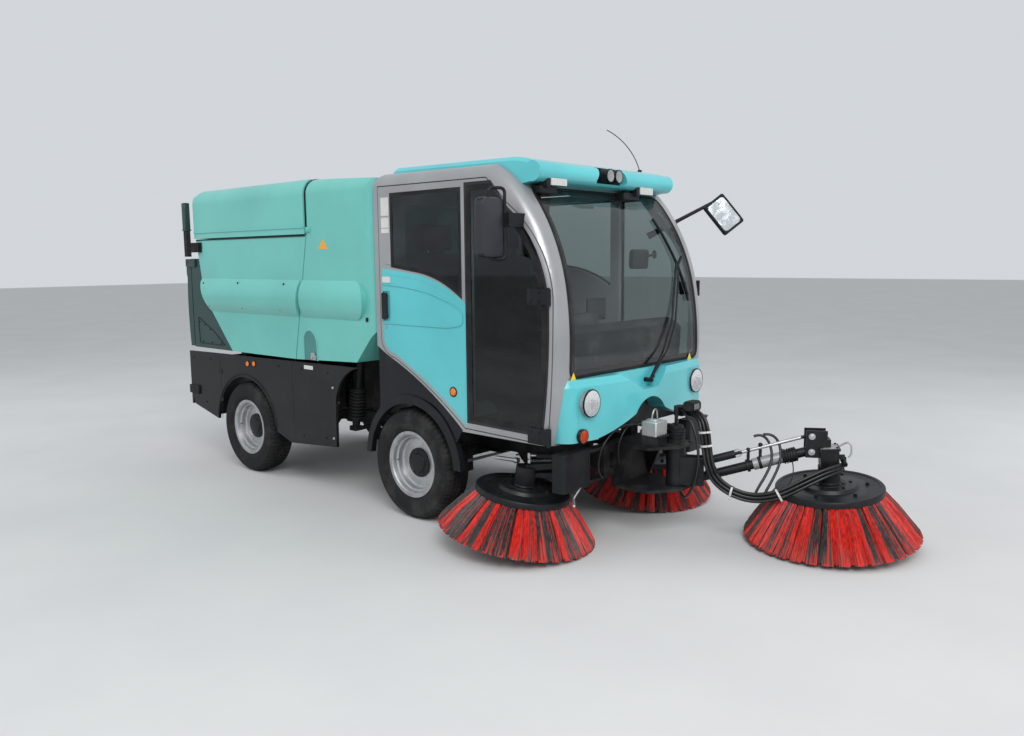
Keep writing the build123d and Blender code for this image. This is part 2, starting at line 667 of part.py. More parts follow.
def lower_body():
    """Black skirts round the rear, with both rear arches."""
    top_rear, top_front = 930, 962
    z = AXLE_Z
    face = outline((2846, top_rear), (2846, 560), (2790, 470), (2411, 385), ((WHEELBASE, 794), (1533, 385)),
                   (1340, 325), (780, 370), (772, 700), ((700, 855), (492, top_front)))
    side = side_on(face, -BODY_HALF, -BODY_HALF + 22)
    rear = end_on(Polygon((-BODY_HALF, 470), (BODY_HALF, 470), (BODY_HALF, 860), (-BODY_HALF, 860),
                          align=None),
                  2846, 2824)
    rear -= block(-150, 150, 2800, 2900, 400, 580)
    for x in (-765, 585):
        rear += block(x, x + 180, 2845, 2874, 690, 790)
    liner = outline((2425, 420), ((WHEELBASE, 802), (1519, 420)), (1548, 420), ((WHEELBASE, 772), (2396, 420)))
    arch = side_on(liner, -BODY_HALF, -WHEEL_X + 130)
    return side + other_side(side) + rear + arch + other_side(arch)


def tip_ram():
    """Ram under the hopper: barrel on the chassis, rod to the hopper."""
    a, head = Vector(0, *RAM_BASE), Vector(0, *RAM_HEAD)
    length = (head - a).length
    line = (head - a).normalized()
    barrel = bar(a + line * 58, a + line * (length - 80), 42)
    barrel += bar(a, a + line * 70, 18)
    barrel += Pos(a) * Rot(0, 90, 0) * Cylinder(32, 44)
    barrel -= bar(a + line * 76, a + line * length, 30.05)
    rod = bar(a + line * 90, a + line * (length - 60), 30)
    rod += bar(a + line * (length - 70), head, 18)
    rod += Pos(head) * Rot(0, 90, 0) * Cylinder(26, 40)
    return barrel, rod


# Brushes and arms

def brush(centre, lean, r_disc, r_tip, drop, cap):
    """A disc with its hub, thick rim and two rows of splayed bristle tufts, turned about its leaning axle."""
    disc_rows = [(0, cap), (58, cap), (62, 34), (r_disc * 0.5, 30), (r_disc * 0.54, 12), (r_disc - 26, 10),
                 (r_disc - 22, 14), (r_disc - 4, 14), (r_disc, 8), (r_disc, -20), (r_disc - 112, -20),
                 (r_disc - 120, -8), (0, -8)]
    head = revolve(Plane.XZ * Polygon(*disc_rows, align=None), Axis.Z)
    tufts = []
    rows = ((OUTER_TUFTS, r_disc - 24, r_tip, 62), (INNER_TUFTS, r_disc - 78, r_tip - 88, 66))
    for count, root, tip, width in rows:
        foot = Plane.XY.offset(-19) * Pos(root, 0) * Rectangle(26, 24)
        end = Plane.XY.offset(-drop) * Pos(tip - 21, 0) * Rectangle(42, width)
        tuft = loft([foot, end])
        for step in range(count):
            tufts.append(Rot(0, 0, 360 * step / count) * tuft)
    return Plane(origin=centre, z_dir=lean) * (head + tufts)


def lean_frame(centre, lean):
    return Plane(origin=centre, z_dir=lean)


def side_brush_arm():
    """Right hand arm: sleeve on the post, two bars and the motor over the disc."""
    px, py = BRUSH_PIVOT
    frame = lean_frame(BRUSH_DISC, BRUSH_LEAN)
    motor = frame * Pos(0, 0, 46 + 52) * Cylinder(62, 104)
    top = frame.from_local_coords(Vector(0, 0, 130))
    sleeve = Pos(px, py, 480) * Cylinder(34, 158)
    sleeve -= Pos(px, py, 480) * Cylinder(18, 200)
    upper = beam((px, py, 500), (top.X, top.Y, 470), 46, 34)
    lower = beam((px, py, 430), (top.X, top.Y, 425), 34, 26)
    arm = upper + lower + motor
    arm -= Pos(px, py, 480) * Cylinder(18, 200)
    return arm + sleeve


def boom_column():
    """Slewing column with the two hinge cheeks of the boom."""
    sx, sy = SLEW
    u = boom_direction()
    column = Pos(sx, sy, 440) * Cylinder(58, 236)
    rx, ry, rz = BOOM_ROOT
    side = Vector(-u.Y, u.X, 0)
    cheeks = []
    for s in (-1, 1):
        a = Vector(sx, sy, rz + 45) + side * s * 44
        b = Vector(rx, ry, rz + 45) + side * s * 44 + u * 30
        cheeks.append(beam((a.X, a.Y, a.Z), (b.X, b.Y, b.Z), 14, 170))
    body = column + cheeks[0] + cheeks[1]
    return body - Pos(sx, sy, 440) * Cylinder(25, 300)


def boom_direction():
    d = Vector(BOOM_END[0] - BOOM_ROOT[0], BOOM_END[1] - BOOM_ROOT[1], 0)
    return d.normalized()


def across(point, width, r):
    """A round piece across the boom, at a hinge."""
    u = boom_direction()
    side = Vector(-u.Y, u.X, 0)
    a = Vector(*point) - side * width / 2
    b = Vector(*point) + side * width / 2
    return bar((a.X, a.Y, a.Z), (b.X, b.Y, b.Z), r)


def boom_arm():
    """Telescopic arm: tube, sleeve, ribbed bellows and the eyes of both hinges."""
    line = (Vector(*BOOM_END) - Vector(*BOOM_ROOT))
    unit = line.normalized()
    a = Vector(*BOOM_ROOT)
    arm = bar(BOOM_ROOT, (a + unit * (line.length - 12)), 28)
    arm += bar((a + unit * 330), (a + unit * 505), 34)
    for step in range(5):
        ring = bar(a + unit * (508 + step * 16), a + unit * (516 + step * 16), 42)
        arm += ring + bar(a + unit * (500 + step * 16), a + unit * (524 + step * 16), 35)
    return arm + across(BOOM_ROOT, 66, 34) + across(BOOM_END, 66, 30)


def boom_link():
    rise = Vector(0, 0, LINK_RISE)
    a = Vector(*BOOM_ROOT) + rise
    b = Vector(*BOOM_END) + rise
    unit = (b - a).normalized()
    rod = bar(a, b, 10)
    can = bar((a + unit * 60), (a + unit * 220), 24)
    return rod + can + across(a, 30, 18) + across(b, 30, 18)


def boom_head():
    """Level head: two cheeks with both hinge points, and the square motor over the disc."""
    u = boom_direction()
    side = Vector(-u.Y, u.X, 0)
    frame = Plane(origin=OUTER_DISC, x_dir=Vector(*OUTER_LEAN).cross(side), z_dir=OUTER_LEAN)
    motor = frame * Pos(0, 0, 46 + 45) * Cylinder(62, 90)
    motor += frame * Pos(0, 0, 46 + 90 + 52) * Box(104, 104, 106)
    motor += frame * Pos(0, 0, 46 + 198) * Box(118, 118, 12)
    head = motor
    for s in (-1, 1):
        a = Vector(*BOOM_END) + side * s * 43 - u * 34 + Vector(0, 0, LINK_RISE / 2)
        head += beam(a, a + u * 120, 12, 160)
    bridge = Vector(*BOOM_END) + u * 46 + Vector(0, 0, 20)
    return head + beam(bridge, bridge + u * 60, 92, 110)


def suction_gear():
    mouth = block(-330, 330, 520, 860, 30, 150)
    slant = bar((0, 760, 110), (0, 1340, 600), 92)
    rise = bar((0, 1340, 540), (0, 1340, 962), 98)
    return mouth + slant + rise


def roof_lamp(r):
    return Pos(-45, -1010, 2190) * Rot(90, 0, 0) * Cylinder(r, 100)


def front_lamps():
    """Headlights, indicators and roof lamps: six lenses."""
    return both(headlight(74) + indicator(27) + roof_lamp(36))


def antenna():
    """Whip that bends backwards from its foot on the roof."""
    foot = (590, -850, 2271)
    whip = ThreePointArc(foot, (566, -766, 2440), (500, -640, 2560))
    return sweep(Plane(origin=foot, z_dir=whip % 0) * Circle(3), path=whip) + Pos(*foot) * Cylinder(14, 24)


def rear_post():
    post = block(-838, -800, 2700, 2745, 1735, 2180)
    arm = block(-812, -796, 2560, 2745, 1770, 1850)
    foot = block(-800, -BODY_HALF, 2540, 2600, 1770, 1850)
    return post + arm + foot


frame_shell, windshield, back_glass, right_door, right_panes, right_skin = cab_parts()
cab_solid = cab_form(0)
ram_barrel, ram_rod = tip_ram()
right_arm = side_brush_arm()
right_brush = brush(BRUSH_DISC, BRUSH_LEAN, BRUSH_R, BRUSH_TIP_R, BRUSH_DROP, 45)
tub = hopper_tub()
body_shell = front_body_shell()
covers = hinge_covers()
handle = door_handle()

NODES = {
    "chassis_frame": chassis_frame(),
    "body_mounts": body_mounts(),
    "front_bracket": front_bracket(),
    "rear_hitch": rear_hitch(),
    "leaf_springs": leaf_springs(),
    "front_axle": front_axle(),
    "rear_axle": rear_axle(),
    "engine": engine(),
    "cab_frame": frame_shell,
    "windshield": windshield,
    "rear_window": back_glass,
    "cab_roof_cap": without(roof_cap() - cab_solid, both(roof_lamp(36.5))),
    "front_panel": without(front_panel() - cab_solid, both(headlight(74.5) + indicator(27.5))),
    "front_lamps": front_lamps(),
    "wiper": wiper() - cab_solid,
    "dashboard": dashboard(),
    "seats": seats(),
    "steering_wheel": steering_wheel(),
    "front_fenders": fenders(),
    "radio_antenna": antenna() - roof_cap() - cab_solid,
    "front_body": front_body(body_shell),
    "body_hood": body_hood(body_shell),
    "lower_body": lower_body(),
    "suction_gear": suction_gear(),
    "rear_post": rear_post(),
    "door_right": right_door,
    "door_left": other_side(right_door),
    "door_skin_right": right_skin,
    "door_skin_left": other_side(right_skin),
    "door_panes_right": right_panes,
    "door_panes_left": other_side(right_panes),
    "door_fittings_right": door_fittings(mirror_right(), covers, handle),
    "door_fittings_left": door_fittings(mirror_left(), other_side(covers), other_side(handle)),
    "hopper_tub": tub,
    "hopper_subframe": hopper_subframe(),
    "hopper_lid": hopper_lid(),
    "rear_cover": rear_cover() - tub,
    "tail_door": tail_door(),
    "tip_ram_barrel": ram_barrel,
    "tip_ram_rod": ram_rod,
    "knuckle_right": knuckle(-1),
    "knuckle_left": knuckle(1),
    "tie_rod": tie_rod(),
    "brush_arm_right": right_arm,
    "brush_arm_left": other_side(right_arm),
    "brush_right": right_brush,
    "brush_left": other_side(right_brush),
    "boom_column": boom_column(),
    "boom_arm": boom_arm(),
    "boom_link": boom_link(),
    "boom_head": boom_head(),
    "brush_outer": brush(OUTER_DISC, OUTER_LEAN, OUTER_R, OUTER_TIP_R, OUTER_DROP, 45),
}
for name, x, y in (("front_right", -WHEEL_X, 0), ("front_left", WHEEL_X, 0),
                   ("rear_right", -WHEEL_X, WHEELBASE), ("rear_left", WHEEL_X, WHEELBASE)):
    NODES["tyre_" + name] = tyre(x, y)
    NODES["rim_" + name] = rim(x, y)

os.makedirs("parts", exist_ok=True)
for node, shape in NODES.items():
    export_step(Pos(-ORIGIN[0], -ORIGIN[1], -ORIGIN[2]) * shape, "parts/" + node + ".step")
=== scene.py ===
import json
import math
import random

import bmesh
import bpy
from mathutils import Matrix, Vector


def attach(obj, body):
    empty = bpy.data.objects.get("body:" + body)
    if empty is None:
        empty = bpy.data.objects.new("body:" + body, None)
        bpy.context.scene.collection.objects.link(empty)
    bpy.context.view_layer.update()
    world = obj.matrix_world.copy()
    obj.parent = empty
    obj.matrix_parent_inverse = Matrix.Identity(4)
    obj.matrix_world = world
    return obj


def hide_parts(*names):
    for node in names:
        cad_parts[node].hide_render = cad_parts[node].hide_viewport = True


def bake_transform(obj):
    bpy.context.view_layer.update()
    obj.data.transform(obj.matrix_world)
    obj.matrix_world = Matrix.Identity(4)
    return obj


# Looks of the compact road sweeper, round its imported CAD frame. Shapes are given in millimetres
# from the ground under the middle of the front axle, as in the source: -Y is forward, and the
# photographed side, with the driver's seat, is at -X.

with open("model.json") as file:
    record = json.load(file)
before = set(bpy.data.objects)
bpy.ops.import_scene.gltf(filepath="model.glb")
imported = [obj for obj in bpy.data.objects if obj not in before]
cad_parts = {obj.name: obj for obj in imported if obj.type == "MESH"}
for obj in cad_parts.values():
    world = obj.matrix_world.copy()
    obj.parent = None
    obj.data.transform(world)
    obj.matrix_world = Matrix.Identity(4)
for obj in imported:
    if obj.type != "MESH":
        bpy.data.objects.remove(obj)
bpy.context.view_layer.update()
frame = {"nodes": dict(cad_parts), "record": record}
NODES = frame["nodes"]

# How far the middle of the whole outline lies behind the front axle
AXLE_SHIFT = 76

# Main places, as in the source. A brush is given by its disc's centre and its axle's direction.
WHEELBASE = 1972
WHEEL_X, AXLE_Z, TYRE_R, RIM_R = 683, 364.5, 364.5, 203
BODY_HALF = 790
RIGHT_BRUSH = ((-672, -881, 327), (0.075, -0.15, 1))
LEFT_BRUSH = ((672, -881, 327), (-0.075, -0.15, 1))
OUTER_BRUSH = ((502, -2255, 340), (-0.096, 0.019, 1))
SLEW = (60, -1480)
BOOM_ROOT, BOOM_END = (130, -1600, 365), (446, -2157, 560)
BRACKET_TOP = 580
random.seed(7)


def at(x, y, z):
    """A place in working millimetres as a point of the shared frame in metres."""
    return Vector((x / 1000, (y - AXLE_SHIFT) / 1000, z / 1000))


# Shading


class Value:
    """A socket that takes part in sums. Each operator adds its Math node."""

    def __init__(self, finish, socket):
        self.finish = finish
        self.socket = socket

    def maths(self, operation, *others):
        inputs = {i + 1: o for i, o in enumerate(others)}
        return self.finish.node("ShaderNodeMath", {"operation": operation}, {0: self, **inputs})[0]

    def __add__(self, other):
        return self.maths("ADD", other)

    def __sub__(self, other):
        return self.maths("SUBTRACT", other)

    def __mul__(self, other):
        return self.maths("MULTIPLY", other)

    def __rsub__(self, other):
        return self.finish.node("ShaderNodeMath", {"operation": "SUBTRACT"}, {0: other, 1: self})[0]

    __radd__ = __add__
    __rmul__ = __mul__

    def clamped(self):
        return self.maths("MAXIMUM", 0.0).maths("MINIMUM", 1.0)


FINISHES = {}


class Finish:
    """A procedural material, kept in FINISHES by its name, and the nodes that make it."""

    def __init__(self, name, **shader):
        self.material = bpy.data.materials.new(name)
        self.material.use_nodes = True
        FINISHES[name] = self.material
        self.tree = self.material.node_tree
        self.shader = self.tree.nodes["Principled BSDF"]
        self.place = self.node("ShaderNodeTexCoord")[3]
        for socket, value in shader.items():
            self.shader.inputs[socket.replace("_", " ")].default_value = value

    def node(self, kind, settings=None, sockets=None):
        """Adds a node: settings first, then its sockets, each a number, a colour or a link."""
        made = self.tree.nodes.new(kind)
        for key, value in (settings or {}).items():
            setattr(made, key, value)
        for key, value in (sockets or {}).items():
            self.feed(made.inputs[key], value)
        return [Value(self, out) for out in made.outputs]

    def feed(self, socket, value):
        if isinstance(value, Value):
            self.tree.links.new(value.socket, socket)
        elif isinstance(value, (tuple, list)) and len(value) == 3 and len(socket.default_value) == 4:
            socket.default_value = (*value, 1.0)
        else:
            socket.default_value = value

    def noise(self, scale, detail, roughness=0.55, stretch=None, place=None):
        place = place or self.place
        if stretch:
            place = self.node("ShaderNodeMapping", {}, {"Vector": place, "Scale": stretch})[0]
        sockets = {"Vector": place, "Scale": scale, "Detail": detail, "Roughness": roughness}
        return self.node("ShaderNodeTexNoise", {}, sockets)[0]

    def between(self, value, low, high):
        """0 below low, 1 above high, and even between them."""
        sockets = {"Value": value, "From Min": low, "From Max": high}
        return self.node("ShaderNodeMapRange", {"clamp": True}, sockets)[0]

    def blend(self, share, first, second):
        return self.node("ShaderNodeMix", {"data_type": "RGBA"}, {0: share, 6: first, 7: second})[2]

    def height(self):
        return self.node("ShaderNodeSeparateXYZ", {}, {0: self.place})[2]

    def smears(self):
        """Faint upright smears, as on wiped glass."""
        return self.between(self.noise(3.0, 5.0, 0.6, stretch=(1.0, 1.0, 2.4)), 0.45, 0.8)

    def set(self, socket, value):
        self.feed(self.shader.inputs[socket], value)

    def bump(self, height, distance, strength=1.0):
        sockets = {"Height": height, "Distance": distance, "Strength": strength}
        self.set("Normal", self.node("ShaderNodeBump", {}, sockets)[0])


DUSTY_BELOW = 0.9
GLASS_ROUGHNESS = 0.02
EVEN = (1.0, 1.0, 1.0)


def paint(name, colour, dark, roughness, metallic=0.0, dust=0.35, grain=0.0002):
    """Sprayed paint: slow fading, faint streaks, road dust low down, orange peel."""
    f = Finish(name, Metallic=metallic, Coat_Roughness=0.12)
    fade = f.noise(1.7, 3.0)
    streak = f.between(f.noise(9.0, 5.0, 0.6, stretch=(3.0, 3.0, 0.35)), 0.52, 0.75)
    specks = f.between(f.noise(160.0, 2.0), 0.62, 0.74)
    low = 1 - f.between(f.height(), DUSTY_BELOW * 0.35, DUSTY_BELOW)
    worn = (low * dust + streak * 0.14) * f.between(f.noise(5.0, 6.0), 0.3, 0.8)
    tone = f.blend(f.between(fade, 0.35, 0.65), colour, dark)
    tone = f.blend(worn.clamped(), tone, (0.30, 0.285, 0.26))
    f.set("Base Color", f.blend(specks * 0.10, tone, (0.12, 0.12, 0.11)))
    f.set("Roughness", roughness + worn * 0.35 + specks * 0.1)
    f.set("Coat Weight", (1 - worn).clamped() * 0.4)
    f.bump(f.noise(420.0, 2.0) + streak * 0.2, grain)


def plastic(name, colour, roughness, grain=0.0004, scale=900.0, dust=0.25, shine=0.35):
    """Moulded or powder-coated surface with a fine grain and dust in patches."""
    f = Finish(name, Specular_IOR_Level=shine)
    grime = f.between(f.noise(6.0, 6.0, 0.62), 0.48, 0.75)
    f.set("Base Color", f.blend(grime * dust, colour, (0.26, 0.25, 0.235)))
    f.set("Roughness", roughness + grime * 0.18)
    f.bump(f.noise(scale, 3.0), grain, 0.6)


def metal(name, colour, roughness, stretch=EVEN, grime=0.3):
    """Plated or bare metal with fine marks and grime."""
    f = Finish(name, Metallic=1.0)
    marks = f.noise(60.0, 3.0, 0.5, stretch=stretch)
    dirt = f.between(f.noise(14.0, 6.0, 0.65), 0.45, 0.75)
    f.set("Base Color", f.blend(dirt * grime, colour, (0.10, 0.09, 0.08)))
    f.set("Roughness", roughness + marks * 0.15 + dirt * 0.25)
    f.bump(marks, 0.0001, 0.5)


def lamp_glass(name, tint, alpha):
    """A lamp's clear cover: a see-through share, a gloss, faint smears."""
    f = Finish(name, IOR=1.5)
    smears = f.smears()
    f.set("Base Color", tint)
    f.set("Alpha", alpha + smears * 0.05)
    f.set("Roughness", GLASS_ROUGHNESS + smears * 0.06)


def pane(name, through, share):
    """Window glass: tinted light passes, and its outer face has a gloss that grows at a flat angle."""
    f = Finish(name, Metallic=1.0)
    smears = f.smears()
    f.set("Base Color", (0.80, 0.84, 0.86))
    f.set("Roughness", smears * 0.06 + GLASS_ROUGHNESS)
    passed = f.node("ShaderNodeBsdfTransparent", {}, {"Color": through})[0]
    gloss = f.node("ShaderNodeFresnel", {}, {"IOR": 1.5})[0]
    inner_face = f.node("ShaderNodeNewGeometry")[6]
    mirrored = (gloss + smears * 0.02 + share) * (1 - inner_face)
    mirror = Value(f, f.shader.outputs[0])
    mixed = f.node("ShaderNodeMixShader", {}, {0: mirrored, 1: passed, 2: mirror})[0]
    f.feed(f.tree.nodes["Material Output"].inputs["Surface"], mixed)


def strands(name, colour, shade):
    """Plastic bristles in darker and lighter streaks, dusty at the road."""
    f = Finish(name)
    streaks = f.between(f.noise(70.0, 3.0, 0.6, stretch=(1.0, 1.0, 0.15)), 0.35, 0.7)
    dusty = (1 - f.between(f.height(), 0.0, 0.13)) * 0.30 * f.between(f.noise(9.0, 3.0), 0.3, 0.7)
    f.set("Base Color", f.blend(dusty, f.blend(streaks, shade, colour), (0.28, 0.25, 0.22)))
    f.set("Roughness", 0.45 + dusty * 0.4)
    f.bump(streaks, 0.0005, 0.5)


# Finishes of the record's slots
paint("teal_paint", (0.098, 0.525, 0.560), (0.084, 0.455, 0.490), 0.30)
paint("silver_paint", (0.36, 0.365, 0.37), (0.30, 0.305, 0.31), 0.34, metallic=0.35)
plastic("green_plastic", (0.010, 0.040, 0.038), 0.34, 0.0002, 500.0, 0.06, 0.5)
plastic("black_plastic", (0.0065, 0.0075, 0.0095), 0.42, dust=0.045, shine=0.28)
plastic("black_steel", (0.0065, 0.0068, 0.0085), 0.40, 0.0002, 300.0, 0.06, 0.30)
plastic("frame_paint", (0.008, 0.008, 0.009), 0.55, 0.0004, 200.0, 0.16, 0.25)
metal("wheel_steel", (0.52, 0.53, 0.54), 0.36, grime=0.35)
plastic("tyre", (0.012, 0.012, 0.0125), 0.72, 0.0006, 240.0, 0.16, 0.25)
pane("clear_glass", (0.93, 0.955, 0.95), 0.01)
pane("tinted_glass", (0.42, 0.47, 0.46), 0.0)
lamp_glass("lamp", (0.80, 0.82, 0.83), 0.30)
plastic("seat_cloth", (0.030, 0.031, 0.035), 0.92, 0.00015, 300.0, 0.15, 0.1)
plastic("dash_plastic", (0.014, 0.014, 0.015), 0.62)
plastic("bristle", (0.60, 0.020, 0.018), 0.5)
metal("bright_steel", (0.55, 0.55, 0.56), 0.28, (1.0, 1.0, 40.0))
plastic("cast", (0.045, 0.043, 0.04), 0.65, 0.0012, 160.0, 0.5)

# Finishes of pieces that the record has no slot for
paint("teal_faded", (0.135, 0.500, 0.445), (0.118, 0.440, 0.395), 0.36, dust=0.25, grain=0.0003)
# Darker teal: painted shade, for the recess of each latch niche
paint("teal_painted_shade", (0.050, 0.235, 0.225), (0.035, 0.170, 0.165), 0.45)
strands("red_bristle", (0.86, 0.040, 0.024), (0.46, 0.016, 0.012))
strands("grey_bristle", (0.090, 0.084, 0.080), (0.026, 0.024, 0.024))
plastic("rubber", (0.007, 0.007, 0.008), 0.60, 0.0003, 500.0, 0.10, 0.3)
plastic("hose", (0.008, 0.008, 0.009), 0.34, 0.0003, 350.0, 0.10, 0.5)
plastic("gloss_black", (0.006, 0.006, 0.007), 0.16, 0.00005, 300.0, 0.06, 0.5)
plastic("grey_plastic", (0.10, 0.10, 0.105), 0.5)
plastic("grey_shell", (0.026, 0.028, 0.034), 0.45, 0.0004, 600.0, 0.06)
plastic("white_plastic", (0.62, 0.62, 0.60), 0.45, 0.0002, 400.0, 0.3)
plastic("amber", (0.80, 0.20, 0.015), 0.15, 0.0001, 200.0, 0.1)
plastic("red_lens", (0.42, 0.012, 0.010), 0.15, 0.0001, 200.0, 0.1)
plastic("orange_lens", (0.46, 0.050, 0.014), 0.16, 0.0001, 200.0, 0.1)
plastic("pale_lens", (0.55, 0.56, 0.54), 0.12, 0.0001, 200.0, 0.08, 0.6)
plastic("yellow_mark", (0.78, 0.55, 0.03), 0.4, 0.0001, 200.0, 0.2)
plastic("warning_orange", (0.86, 0.34, 0.02), 0.4, 0.0001, 200.0, 0.08)
plastic("seat_belt", (0.018, 0.018, 0.020), 0.8, 0.0006, 900.0, 0.05)
plastic("floor_mat", (0.012, 0.012, 0.012), 0.85, 0.001, 300.0, 0.45)
plastic("headlining", (0.30, 0.30, 0.29), 0.9, 0.0006, 600.0, 0.1)
plastic("screen_grey", (0.035, 0.05, 0.055), 0.12, 0.00005, 200.0, 0.1)
metal("pale_alloy", (0.74, 0.74, 0.72), 0.42, grime=0.12)
metal("reflector", (0.85, 0.86, 0.88), 0.08, grime=0.03)
metal("mirror_glass", (0.75, 0.78, 0.80), 0.03, grime=0.02)
metal("spring_steel", (0.50, 0.50, 0.50), 0.30, grime=0.35)


def dress(obj, finish):
    obj.data.materials.clear()
    obj.data.materials.append(FINISHES[finish])


for row in frame["record"]["subparts"]:
    dress(NODES[row["node"]], row["material_slot"])
for name in ("hopper_tub", "hopper_lid", "front_body", "body_hood"):
    dress(NODES[name], "teal_faded")
dress(NODES["boom_link"], "black_steel")

# Where a brush changes from its disc to its tufts, in metres along its axle
DISC_FACE = -0.021


def brush_body(name, centre, lean, red_share):
    """Black disc above and tufts of red and grey bristles below, in streaks that run out from the axle."""
    f = Finish(name, Specular_IOR_Level=0.35)
    place = at(*centre)
    axis = Vector(lean).normalized()
    parts = f.node("ShaderNodeSeparateXYZ", {}, {0: f.place})
    off = [parts[i] - place[i] for i in range(3)]
    along = off[0] * axis.x + off[1] * axis.y + off[2] * axis.z
    angle = (off[1] - along * axis.y).maths("ARCTAN2", off[0] - along * axis.x)
    streak_place = f.node("ShaderNodeCombineXYZ", {}, {0: angle * 34.0, 1: along * 3.0})[0]
    fine_place = f.node("ShaderNodeCombineXYZ", {}, {0: angle * 150.0, 1: along * 7.0})[0]
    bundles = f.noise(1.0, 1.0, 0.4, place=streak_place)
    fine = f.noise(1.0, 3.0, 0.6, place=fine_place)
    tuft = 1 - f.between(along, DISC_FACE - 0.0005, DISC_FACE + 0.0005)
    dust = f.between(f.noise(7.0, 6.0), 0.45, 0.75) * 0.10
    red = f.blend(f.between(fine, 0.35, 0.65), (0.30, 0.012, 0.010), (0.74, 0.034, 0.022))
    grey = f.blend(f.between(fine, 0.40, 0.65), (0.016, 0.015, 0.015), (0.085, 0.080, 0.076))
    mixed = f.blend(f.between(bundles, red_share - 0.02, red_share + 0.02), red, grey)
    disc = f.blend(dust, (0.010, 0.010, 0.011), (0.24, 0.23, 0.21))
    f.set("Base Color", f.blend(tuft, disc, mixed))
    f.set("Roughness", 0.42 + tuft * 0.15)
    f.bump(fine * tuft, 0.004, 0.8)


for name, brush, red_share in (("right", RIGHT_BRUSH, 0.49), ("left", LEFT_BRUSH, 0.50),
                               ("outer", OUTER_BRUSH, 0.54)):
    brush_body("brush_body_" + name, *brush, red_share)
    dress(NODES["brush_" + name], "brush_body_" + name)


# Tools for shapes

# Radius at the middle of a turned face
TIP = 0.01


